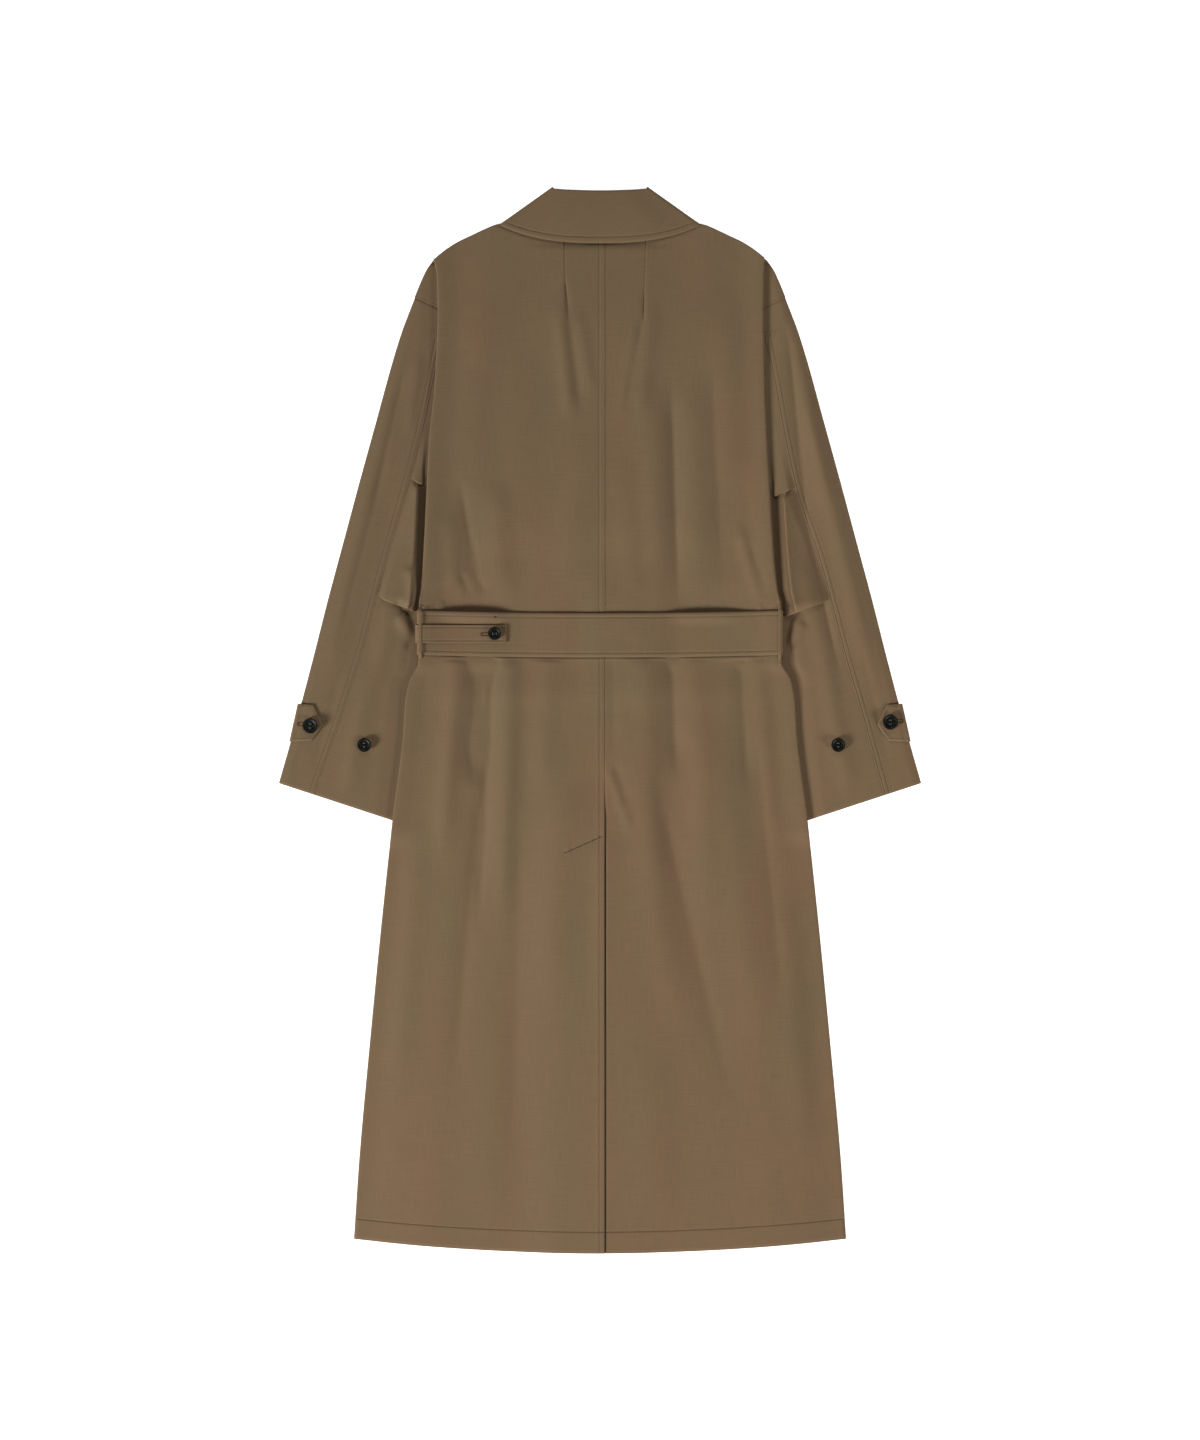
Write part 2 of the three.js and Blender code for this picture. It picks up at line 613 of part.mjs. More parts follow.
function collarFall() {
  const sections = [...collarLeaf(-1), ...collarMiddle(), ...collarLeaf(1).reverse()];
  return spread(0, 1, COLLAR.rows).map((v) =>
    sections.map(({ top, low, crown }) => {
      const p = top.map((a, k) => lerp(a, low[k], v));
      p[2] += crown * Math.sin(Math.PI * lerp(0.2, 0.82, v));
      return p;
    }),
  );
}

// Collar stand: a band from the back's neck seam up to the inside of the fall's top fold.
function collarStand() {
  return spread(0, 1, 4).map((v) =>
    spread(-STAND_HALF, STAND_HALF, 9).map((x) => {
      const low = panelTop(x, BACK_NECK) + SEAM;
      const top = COLLAR.top.y - COLLAR.top.dip - 3.5 - 3 * (x / STAND_HALF) ** 4;
      return [x, lerp(low, top, v), FLOOR + 2 * PITCH];
    }),
  );
}

// Belt: one strip round the waist, whose ends cross at the centre front under the fronts.
const beltMiddle = (x) => BELT.middle - BELT.sag * (1 - (x / BELT.half) ** 2);

// Points across the belt's back run, a layer above the back, from the left turn to the right one.
function beltBackRun(above) {
  const points = [];
  for (const side of [LEFT, RIGHT]) {
    const turn = sideEdge(BELT.middle, side) - read(SIDE, "y", BELT.middle, "roll") - CLOTH / 2;
    const start = VENT_EDGE + (side.sign * SEAM) / 2 + (side === RIGHT ? 1 : 0);
    const run = backColumns(start, side.sign * turn).map((x) => ({
      x,
      z: backHeight(x, BELT.middle, side) + above,
    }));
    points.push(...(side === LEFT ? run.reverse() : run));
  }
  return points;
}

// Turn of the belt round one side, from the back run down to the front run.
function beltTurn(side, above, steps) {
  const roll = read(SIDE, "y", BELT.middle, "roll");
  const turn = sideEdge(BELT.middle, side) - roll - CLOTH / 2;
  return halfTurn(turn, returnHeight(BELT.middle) - above, roll + above, steps, side.sign);
}

// Front run on one side, on the surface in the middle and over the sleeve's strip at the side.
function beltFrontRun(side, stop) {
  const edge = sideEdge(BELT.middle, side) - RETURN - SEAM;
  const halves = frontColumns(side, edge).filter((half) => half > side.sign * stop + 2);
  const run = halves.reverse().map((half) => {
    const x = side.sign * half;
    const over = side === RIGHT ? PITCH * ease((BELT_ENDS.under + 14 - x) / 10) : 0;
    return { x, z: FLOOR + overStrip(x, BELT.middle, side) + over };
  });
  const lift = side === RIGHT ? PITCH : 0;
  return [...run, { x: stop, z: FLOOR + lift }];
}

function beltWall() {
  const left = [...beltTurn(LEFT, PITCH, 5), ...beltFrontRun(LEFT, BELT_ENDS.under)].reverse();
  const right = [...beltTurn(RIGHT, PITCH, 5), ...beltFrontRun(RIGHT, BELT_ENDS.over)];
  const path = [...left, ...beltBackRun(PITCH), ...right];
  return [-1, 0, 1].map((edge) =>
    path.map(({ x, z }) => [x, beltMiddle(x) + (edge * BELT.width) / 2, z]),
  );
}

// Narrow strap on the belt's left end, a layer above it, held by one button.
function strapWall() {
  const run = beltBackRun(2 * PITCH).filter(({ x }) => x < STRAP.end - 2);
  const turn = beltTurn(LEFT, 2 * PITCH, 6).slice(0, 4).reverse();
  const first = { x: STRAP.end, z: backHeight(STRAP.end, BELT.middle, LEFT) + 2 * PITCH };
  const path = [...turn, ...run, first];
  return [-1, 0, 1].map((edge) => path.map(({ x, z }) => [x, STRAP.middle + (edge * STRAP.width) / 2, z]));
}

// Belt loop: a thin band from the back above the belt, over it, to the back below it.
function loopWall(side) {
  const x = side.sign * LOOP.x;
  const layers = side === LEFT ? 2 : 1;
  const over = backHeight(x, BELT.middle, side) + layers * PITCH + CLOTH / 2 + SEAM + LOOP.wall / 2;
  const seat = (y) => backHeight(x, y, side) + CLOTH / 2 + SEAM + LOOP.wall / 2;
  const top = beltMiddle(x) + BELT.width / 2;
  const low = beltMiddle(x) - BELT.width / 2;
  const path = [
    [LOOP.top, seat(LOOP.top)],
    [top + 5, seat(top + 5) + 0.3],
    [top + 2, over - 1],
    [top - 1, over],
    [low + 1, over],
    [low - 2, over - 1],
    [low - 5, seat(low - 5) + 0.3],
    [LOOP.bottom, seat(LOOP.bottom)],
  ];
  return path.map(([y, z]) => spread(-1, 1, 2).map((e) => [x + (e * LOOP.width) / 2, y, z]));
}

// Cuff tab: a pointed tab over the sleeve's outer edge, down to the surface on the outside.
const TAB = [
  { tip: 330, y: 17.6, out: 3.4 },
  { tip: 324.4, y: 6, out: 2.8 },
  { tip: 318.8, y: -6, out: 2.2 },
  { tip: 325, y: -16, out: 1.6 },
  { tip: 332, y: -25, out: 1.0 },
];

function cuffTab(side) {
  return TAB.map(({ tip, y, out }) => {
    const edge = read(SLEEVE_OUT, "y", y, "x") + out;
    const lean = (x) => y + (0.05 * (edge - x) * (-6 - y)) / 24;
    const level = (x) => sleeveHeight(Math.min(x, edge - 6), y, side) + PITCH;
    const path = spread(tip, edge - 2, 5).map((x) => [side.sign * x, lean(x), level(x)]);
    const height = level(edge);
    path.push([side.sign * (edge - 0.6), y, height - 0.6]);
    path.push([side.sign * edge, y, height - 2]);
    path.push([side.sign * edge, y, SEAM]);
    return path;
  });
}

// Four-hole button with a raised rim, made flat on the origin.
function buttonSolid(diameter) {
  const r = diameter / 2;
  const h = BUTTON_HEIGHT;
  const profile = [
    [0, 0],
    [r - BUTTON_FOOT, 0],
    [r, 1.0],
    [r, h - 0.8],
    [r - 0.7, h],
    [r - 1.6, h],
    [r - 2.6, h - 0.9],
    [0, h - 0.9],
  ].map(([x, y]) => new THREE.Vector2(x, y));
  const disc = new THREE.LatheGeometry(profile, 14).rotateX(Math.PI / 2);
  let solid = solidOf(disc);
  for (const [x, y] of [[1, 1], [1, -1], [-1, 1], [-1, -1]]) {
    const hole = new THREE.CylinderGeometry(HOLE.radius, HOLE.radius, 3 * h, 5).rotateX(Math.PI / 2);
    const off = HOLE.off * diameter;
    solid = solid.subtract(solidOf(hole.translate(x * off, y * off, 0)));
  }
  return geometryOf(solid);
}

const BUTTONS = [
  { name: "button_belt", x: -121, y: 98.6, size: SMALL_BUTTON, lean: 0, on: "strap" },
  { name: "button_tab_left", x: -332.5, y: -7.4, size: BUTTON, lean: -0.16, on: "tab" },
  { name: "button_tab_right", x: 333, y: -3, size: BUTTON, lean: 0.16, on: "tab" },
  { name: "button_cuff_left", x: -270.6, y: -29.3, size: CUFF_BUTTON, lean: -0.1, on: "sleeve" },
  { name: "button_cuff_right", x: 273.2, y: -29.3, size: CUFF_BUTTON, lean: 0.1, on: "sleeve" },
];

// Height of the cloth's middle that a button stands on
function buttonSeat({ x, y, on }) {
  const side = x < 0 ? LEFT : RIGHT;
  if (on === "strap") return backHeight(x, BELT.middle, side) + 2 * PITCH;
  return sleeveHeight(Math.abs(x), y, side) + (on === "tab" ? PITCH : 0);
}

const group = new THREE.Group();
const CLOTH_COLOUR = 0x76624a;
const BUTTON_COLOUR = 0x2a2c28;

// Adds a named mesh with a material of its own.
function add(name, geometry, colour = CLOTH_COLOUR, roughness = 0.85) {
  const material = new THREE.MeshStandardMaterial({ color: colour, roughness, metalness: 0 });
  const mesh = new THREE.Mesh(geometry, material);
  mesh.name = name;
  group.add(mesh);
  return mesh;
}

for (const side of [LEFT, RIGHT]) {
  const panel = solidOf(wallGeometry(backPanel(side)));
  const cap = solidOf(wallGeometry(shoulderCap(side)));
  add(`back_${side.key}`, geometryOf(panel.add(cap)));
  add(`front_${side.key}`, wallGeometry(frontPanel(side)));
  add(`sleeve_top_${side.key}`, wallGeometry(topSleeve(side)));
  const under = solidOf(wallGeometry(underSleeve(side)));
  add(`sleeve_under_${side.key}`, geometryOf(under.subtract(solidOf(armholeCut(side)))));
}

add("collar_fall", wallGeometry(collarFall()));
add("collar_stand", wallGeometry(collarStand()));
add("belt", wallGeometry(beltWall(), BELT.wall));
add("belt_strap", wallGeometry(strapWall()));
for (const side of [LEFT, RIGHT]) {
  add(`belt_loop_${side.key}`, wallGeometry(loopWall(side), LOOP.wall));
  add(`cuff_tab_${side.key}`, wallGeometry(cuffTab(side)));
}
for (const button of BUTTONS) {
  const mesh = add(button.name, buttonSolid(button.size), BUTTON_COLOUR, 0.4);
  const rise = (button.size / 2 - BUTTON_FOOT) * Math.sin(Math.abs(button.lean));
  mesh.rotation.y = button.lean;
  const clear = CLOTH / 2 + (button.on === "sleeve" ? 2 : 1) * SEAM;
  mesh.position.set(button.x, button.y, buttonSeat(button) + clear + rise);
}

export default group;
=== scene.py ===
import math

import bpy
import mathutils
import numpy as np
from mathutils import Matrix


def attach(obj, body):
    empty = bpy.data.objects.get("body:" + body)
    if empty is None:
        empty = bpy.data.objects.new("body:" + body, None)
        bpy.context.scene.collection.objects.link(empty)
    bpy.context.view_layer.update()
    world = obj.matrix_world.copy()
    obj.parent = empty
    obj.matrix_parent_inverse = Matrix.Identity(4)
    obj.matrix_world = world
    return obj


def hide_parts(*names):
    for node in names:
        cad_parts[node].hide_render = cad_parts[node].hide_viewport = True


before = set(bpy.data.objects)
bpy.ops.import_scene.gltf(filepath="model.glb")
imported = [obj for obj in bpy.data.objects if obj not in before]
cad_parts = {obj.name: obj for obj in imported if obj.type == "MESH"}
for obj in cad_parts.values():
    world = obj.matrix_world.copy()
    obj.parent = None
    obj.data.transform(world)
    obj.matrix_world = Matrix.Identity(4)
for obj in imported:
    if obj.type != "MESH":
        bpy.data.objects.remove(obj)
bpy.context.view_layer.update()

# A belted trench coat lies on its front with its back up. The two back panels come first, because
# everything else is laid under them or on them. Each is cut from one length of cotton, seamed at
# the centre, and its side rolls over and turns under to a seam that doesn't show.
# Sizes are millimetres; to_mesh turns them into metres.
PITCH = 2.0  # middle of one layer of cloth to the middle of the next
WALL = 1.1  # cloth with its turnings
FLOOR = 0.6  # middle of the lowest layer
ON_SLEEVE = 2 * PITCH  # two layers of sleeve under the body's sides
RETURN = 16  # the back's side is turned under by this much
UNDERARM = 244
SLEEVE_TUCK = 17  # a sleeve's inner fold lies this far under the body's side
SEAM = 0.3  # between two pieces that are sewn edge to edge
CROWN = 3.0  # rise of the back between its sides
LIP = 0.9  # rise where the back comes out from under the collar and the belt
SIDE_BLEND = 24  # the back bends down to its rolled side over this distance
LEFT, RIGHT = "left", "right"
SIGN = {LEFT: -1, RIGHT: 1}
TOP_ROW, LOW_ROW = 527, -597  # the body's straight sections run between these heights
BACK_NECK = dict(centre=577, shoulder=590, half=75)
HEM = dict(centre=-612.5, rise=14.5, at=270)
# The vent: how far the lap gapes, and the step and the bulge of the underlap beside its edge
VENT = dict(top=-128, lap=42, edge=4.9, gape=0.9, step=1.1, bulge=1.2)
BELT = dict(middle=99.7, sag=3, width=50, row=20.4)
CENTRE_SEAM = -0.7
COLLAR_CENTRE, COLLAR_END = 547.2, (112, 566)  # the collar's lower edge, at the centre and at its end
SHOULDER = dict(
    x=[75, 100, 110, 119, 133, 147, 162, 175, 184, 192],
    y=[588, 575, 570.5, 568.3, 562.6, 556, 549, 541, 534, 527],
)
SIDE = dict(
    y=[527, 506, 474, 386, 321, 270, 189, 148, 131, 66, 45, 22, -22, -116, -231, -369, -507, -597],
    left=[191.5, 187.5, 186.5, 190, 196.5, 199, 203, 206, 208, 208.5, 218.5, 223.5, 226.6, 238.5,
          251, 264.5, 277, 283],
    right=[189, 188, 187.5, 189, 191.5, 194.5, 199.5, 204, 207.5, 208.5, 219.5, 223.5, 226.6, 238.5,
           251, 264.5, 277, 283],
    roll=[1.0, 1.0, 1.1, 1.1, 1.1, 1.6, 1.8, 1.6, 1.1, 0.9, 0.9, 0.9, 0.9, 0.9, 0.9, 0.9, 0.9, 0.9],
)
SLEEVE_OUT = dict(
    y=[527, 515, 503, 492, 469, 448, 413, 344, 275, 206, 137, 68, 0, -73],
    x=[192.5, 200, 205.5, 210, 219, 227, 238, 257, 276, 294.5, 313, 330.5, 348.5, 369.2],
)
SLEEVE_TOP = 484.6
ARMHOLE_SLOPE = 0.456  # a sleeve's section slopes down inwards by this much at the armhole
# Soft ridges and troughs: from x, y to x, y, half-width, height
BACK_FOLDS = [
    (-40.5, 505, -36, 462, 2.2, -1.8),
    (-37, 470, -22, 350, 5.5, -1.3),
    (-47, 478, -33, 340, 9, 2.4),
    (-27, 470, -10, 372, 8, 1.6),
    (50.8, 492, 50, 455, 2.2, -1.6),
    (50, 462, 36, 398, 4, -1.7),
    (37, 408, 30, 352, 6, -1.4),
    (60, 470, 44, 340, 10, 2.2),
    (42, 450, 26, 350, 8, 1.6),
    (82, 384, 90, 138, 9, -3.4),
    (108, 392, 112, 138, 18, 2.2),
    (60, 380, 68, 138, 16, 2.2),
    (-160, 270, -138, 146, 8, -2.8),
    (-161, 168, -149, 144, 4, -1.5),
    (-138, 162, -132, 146, 4, -1.3),
    (-176, 236, -166, 140, 11, 2.2),
    (-120, 270, -112, 138, 16, 2.8),
    (-140, 480, -150, 250, 24, 2.4),
    (-92, 420, -86, 180, 22, 1.6),
    (150, 480, 152, 260, 24, 2.4),
    (128, 400, 140, 170, 12, -1.8),
    (172, 204, 201, 132, 6, -2.2),
    (160, 222, 184, 136, 8, 2.4),
    (183, 336, 196, 298, 5, -2.2),
    (-14, 330, -34, 150, 20, 1.4),
    (24, 300, 36, 150, 14, 1.2),
    (-136, -60, -168, -420, 15, -2.2),
    (62, -60, 152, -440, 17, -2.0),
    (120, 10, 190, -380, 24, 1.8),
    (30, 0, 92, -360, 20, 2.0),
    (180, -20, 210, -330, 12, -1.5),
    (-92, -130, -100, -500, 18, -1.2),
    (10, -54, 36, -132, 6, 1.1),
    (16, -50, 32, -100, 4, -0.8),
    (-40, -40, -60, -330, 22, 1.6),
    (-214, -120, -238, -440, 18, 1.6),
    (-122, -330, -130, -590, 26, 1.2),
    (212, -200, 236, -500, 18, 1.6),
    (60, -380, 70, -590, 24, 1.2),
]
# Gathers that start at the belt's lower edge and die away down the skirt, in the same columns
BELT_FOLDS = [
    (-138, 72, -146, -70, 13, -5.2),
    (-123, 70, -140, -230, 7, -3.2),
    (-164, 70, -182, -160, 12, 2.8),
    (-104, 70, -112, -240, 13, 2.8),
    (-60, 70, -66, -90, 16, 1.8),
    (82, 72, 88, -60, 11, -3.0),
    (161, 70, 170, -80, 10, -2.0),
    (108, 70, 126, -240, 16, 1.8),
    (50, 70, 66, -200, 15, 1.8),
    (182, 70, 200, -160, 12, 1.8),
    (-196, 70, -226, -60, 9, -1.6),
    (14, 70, 16, -40, 10, -1.2),
]


def ease(t):
    """0 to 1 along a cubic with level ends."""
    t = np.clip(t, 0, 1)
    return t * t * (3 - 2 * t)


def mix(a, b, t):
    """Straight blend from a to b."""
    return a + (b - a) * t


def along(table, column, at, key="y"):
    """Smooth curve through a table's rows: a cubic from row to row, whose slope at a row is the
    harmonic mean of the slopes on its two sides, or level where they differ in sign."""
    x, v = np.array(table[key], float), np.array(table[column], float)
    if x[0] > x[-1]:
        x, v = x[::-1], v[::-1]
    steep = np.diff(v) / np.diff(x)
    slope = np.concatenate([steep[:1], np.zeros(len(v) - 2), steep[-1:]])
    same = steep[:-1] * steep[1:] > 0
    total = np.where(same, steep[:-1] + steep[1:], 1)
    slope[1:-1] = np.where(same, 2 * steep[:-1] * steep[1:] / total, 0)
    at = np.asarray(at, float)
    k = np.clip(np.searchsorted(x, at) - 1, 0, len(x) - 2)
    span = x[k + 1] - x[k]
    t = np.clip((at - x[k]) / span, 0, 1)
    ends = v[k] * (2 * t**3 - 3 * t**2 + 1) + v[k + 1] * (3 * t**2 - 2 * t**3)
    return ends + span * (slope[k] * (t**3 - 2 * t**2 + t) + slope[k + 1] * (t**3 - t**2))


def from_line(x, y, x0, y0, x1, y1):
    """Distance along a line from its start, distance off to its side, and the line's length."""
    dx, dy = x1 - x0, y1 - y0
    length = math.hypot(dx, dy)
    run = ((x - x0) * dx + (y - y0) * dy) / length
    off = ((x - x0) * dy - (y - y0) * dx) / length
    return run, off, length


def folds(table, x, y, starts=0.3):
    """Sum of ridges and troughs: the height falls off as a bell across a ridge and as a soft V
    across a trough, and eases out at both ends, at the start within a share of the length."""
    total = np.zeros(np.broadcast(x, y).shape)
    for *line, wide, high in table:
        run, off, length = from_line(x, y, *line)
        run = run / length
        across = (off / wide) ** 2
        shape = np.exp(-across) if high > 0 else np.exp(0.25 - np.sqrt(across * 1.6 + 0.0625))
        total += high * ease((run + 0.27 * starts) / starts) * ease((1.08 - run) / 0.35) * shape
    return total


def side_edge(y, side):
    """Distance of the back's side fold from x 0."""
    return along(SIDE, side, y)


def sleeve_inner(y, side):
    """Distance of a sleeve's inner fold from x 0, a fixed step under the body's side."""
    return side_edge(y, side) - SLEEVE_TUCK


def on_belt(y):
    """1 where the belt's front lies below, easing to 0 beyond its edges."""
    return ease((y - 50) / 15) * ease((147 - y) / 15)


def on_cuffs(y):
    """1 from the cuffs up, easing to 0 below them."""
    return ease((y + 152) / 26)


def over_strip(x, y):
    """Rise of the fronts over the sleeves' tucked strips, a ramp 17 mm wide beside each."""
    inner = np.where(x < 0, sleeve_inner(y, LEFT), sleeve_inner(y, RIGHT))
    return ON_SLEEVE * ease((abs(x) - inner + 22) / 17) * on_cuffs(y) * ease((UNDERARM + 20 - y) / 20)


def front_low(x, y):
    """Middle height of the lowest front: the surface, lifted by the belt, its crossed ends, the
    collar's leaves and the sleeves' strips where they lie under it."""
    ends = ease((x + 12) / 14) * ease((74 - x) / 14)
    leaf = ease((134 - abs(x)) / 14) * ease((y - 466) / 18)
    return FLOOR + PITCH * on_belt(y) * (1 + ends) + PITCH * leaf + over_strip(x, y)


def return_height(y):
    """Middle height of the strip turned under, lifted by the sleeve and the belt."""
    return FLOOR + ON_SLEEVE * on_cuffs(y) + PITCH * on_belt(y)


def back_height(x, y, side):
    """Middle height of the back: a layer above the fronts, bridging in long ramps what lifts them,
    plus a low crown, the folds where the cloth is free, and a lip where it comes out from under the
    collar and the belt. The belt holds it flat. It stays above the fronts, and bends down to the top
    of the rolled side."""
    edge, roll = side_edge(y, side), along(SIDE, "roll", y)
    inward = np.maximum(0, edge - roll - abs(x))
    belt = ease((y - 5) / 60) * ease((195 - y) / 63) * (1 + ease((x + 30) / 32) * ease((92 - x) / 32))
    leaf = ease((176 - abs(x)) / 56) * ease((y - 376) / 108)
    lap = ease((x + 96) / 60) * ease((96 - x) / 60) * ease((548 - y) / 9)
    below_collar = ease((collar_edge(x) - y - 0.4) / 2.4)
    inside = np.sign(x) * np.minimum(abs(x), edge - 42)
    flat = FLOOR + over_strip(inside, y) + PITCH * (1 + belt + leaf + lap)
    free = ease((540 - y) / 30) * ease(inward / 16)
    waist = 1 - ease((y - 22) / 46) * ease((230 - y) / 96)
    crown = CROWN * ease((edge - abs(x)) / 90) * ease((560 - y) / 150)
    crown = (LIP * below_collar * ease(inward / 40) + crown) * waist
    drape = folds(BACK_FOLDS, x, y) + folds(BELT_FOLDS, x, y, 0.05)
    held = np.where(drape > 0, ease((y - 65) / 9), ease((y - 74) / 8))
    drape = drape * (1 + 0.2 * ease(-y / 20)) * (1 - held * ease((139 - y) / 13))
    under_belt = belt_middle(x) - BELT["width"] / 2 - y
    drape = drape + LIP * ease((under_belt - 0.4) / 2.2) * np.exp(-np.maximum(under_belt - 3, 0) / 14)
    lowest = front_low(inside, y) + PITCH * (1 + lap) - 0.2
    lifted = np.maximum(flat + crown * ease(inward / 16) + free * drape, lowest)
    return mix(lifted, return_height(y) + 2 * roll, np.exp(-(inward / SIDE_BLEND) ** 2))


def belt_middle(x):
    """The belt's middle line: a parabola, lowest at the centre."""
    return BELT["middle"] - BELT["sag"] * (1 - (x / 207) ** 2)


def collar_edge(x):
    """The collar's lower edge: a power of the distance from the centre, lowest there."""
    return mix(COLLAR_CENTRE, COLLAR_END[1], np.clip(abs(x) / COLLAR_END[0], 0, 1.1) ** 2.6)


def panel_top(x, neck):
    """Top edge of a panel: a power curve round the neck, then the shoulder's table."""
    curve = mix(neck["centre"], neck["shoulder"], np.clip(abs(x) / neck["half"], 0, 1) ** 1.6)
    return np.where(abs(x) < neck["half"], curve, along(SHOULDER, "y", abs(x), key="x"))


def section_y(x, row, neck, shorter=0):
    """Height on the page of a section's point: level sections bend to the shoulder line at the top
    and to the hem line at the bottom."""
    top, low = ease((row - 440) / 87), ease((-470 - row) / 127)
    hem = HEM["centre"] + HEM["rise"] * (x / HEM["at"]) ** 2
    return row + top * (panel_top(x, neck) - TOP_ROW) + low * (hem + shorter - LOW_ROW)


def wall(grid, thick=WALL):
    """Closed wall about a grid of middle points: both faces stand half the thickness off along the
    grid's normals, and the rim between them bulges by as much, so that edges are round."""
    du, dv = np.gradient(grid, axis=1), np.gradient(grid, axis=0)
    normal = np.cross(du, dv)
    normal /= np.maximum(np.linalg.norm(normal, axis=2, keepdims=True), 1e-9)
    rows, cols = grid.shape[:2]
    out = np.zeros_like(grid)
    out[0] -= dv[0]
    out[-1] += dv[-1]
    out[:, 0] -= du[:, 0]
    out[:, -1] += du[:, -1]
    out /= np.maximum(np.linalg.norm(out, axis=2, keepdims=True), 1e-9)
    index = np.arange(rows * cols).reshape(rows, cols)
    loop = rim_of(index)
    rim = (grid + out * thick * 0.45).reshape(-1, 3)[loop]
    off = normal * thick / 2
    points = np.concatenate([(grid + off).reshape(-1, 3), (grid - off).reshape(-1, 3), rim])
    a, b, c, d = index[:-1, :-1], index[:-1, 1:], index[1:, 1:], index[1:, :-1]
    face = np.stack([a, b, c, d], axis=-1).reshape(-1, 4)
    count = rows * cols
    ring = 2 * count + np.arange(len(loop))
    here, there = loop, np.roll(loop, -1)
    ring_next = np.roll(ring, -1)
    sides = [
        np.stack([there, here, ring, ring_next], axis=-1),
        np.stack([ring_next, ring, here + count, there + count], axis=-1),
    ]
    return points, np.concatenate([face, face[:, ::-1] + count, *sides])


def to_mesh(name, points, faces, material, grain=None):
    """A smooth object at the origin from points in millimetres; grain is the cloth's own
    coordinates in metres, one pair a point, kept as the UV map."""
    mesh = bpy.data.meshes.new(name)
    mesh.from_pydata((np.asarray(points) / 1000).tolist(), [], faces)
    mesh.polygons.foreach_set("use_smooth", np.ones(len(mesh.polygons), bool))
    if grain is not None:
        layer = mesh.uv_layers.new(name="grain")
        corner = np.empty(len(mesh.loops), np.int32)
        mesh.loops.foreach_get("vertex_index", corner)
        layer.data.foreach_set("uv", np.asarray(grain, float)[corner].ravel())
    mesh.materials.append(material)
    mesh.update()
    made = bpy.data.objects.new(name, mesh)
    bpy.context.scene.collection.objects.link(made)
    return made


def rim_of(index):
    """Indexes once round a grid's edge."""
    return np.concatenate([index[0], index[1:, -1], index[-1, -2::-1], index[-2:0:-1, 0]])


def cloth_piece(name, grids, material, thick=WALL):
    """Walls of cloth as one object, each with its grain: arc length across every row, and down the
    middle column."""
    points, faces, grains = [], [], []
    for grid in grids:
        more, cells = wall(grid, thick)
        across = np.cumsum(np.linalg.norm(np.diff(grid, axis=1, prepend=grid[:, :1]), axis=2), axis=1)
        middle = grid[:, grid.shape[1] // 2]
        down = np.cumsum(np.linalg.norm(np.diff(middle, axis=0, prepend=middle[:1]), axis=1))
        grain = np.stack([across, down[:, None] + 0 * across], axis=-1).reshape(-1, 2) / 1000
        rim = rim_of(np.arange(len(grain)).reshape(grid.shape[:2]))
        faces += (cells + sum(len(p) for p in points)).tolist()
        points.append(more)
        grains += [grain, grain, grain[rim]]
    return to_mesh(name, np.concatenate(points), faces, material, np.concatenate(grains))


def linear(hex_colour):
    """sRGB hex to the linear colour that a shader takes."""
    parts = [int(hex_colour[k : k + 2], 16) / 255 for k in (1, 3, 5)]
    return [c / 12.92 if c <= 0.04045 else ((c + 0.055) / 1.055) ** 2.4 for c in parts] + [1]


def add_node(tree, kind, inputs=(), **settings):
    """One node with its settings; a socket given as an input is linked, anything else is its value."""
    made = tree.nodes.new(kind)
    for name, value in settings.items():
        setattr(made, name, value)
    for socket, value in dict(inputs).items():
        if isinstance(value, bpy.types.NodeSocket):
            tree.links.new(value, made.inputs[socket])
        else:
            made.inputs[socket].default_value = value
    return made


def new_material(name, inputs):
    """Material with one principled shader, and its tree."""
    made = bpy.data.materials.new(name)
    made.use_nodes = True
    shader = made.node_tree.nodes["Principled BSDF"]
    for socket, value in inputs.items():
        shader.inputs[socket].default_value = value
    return made, made.node_tree, shader


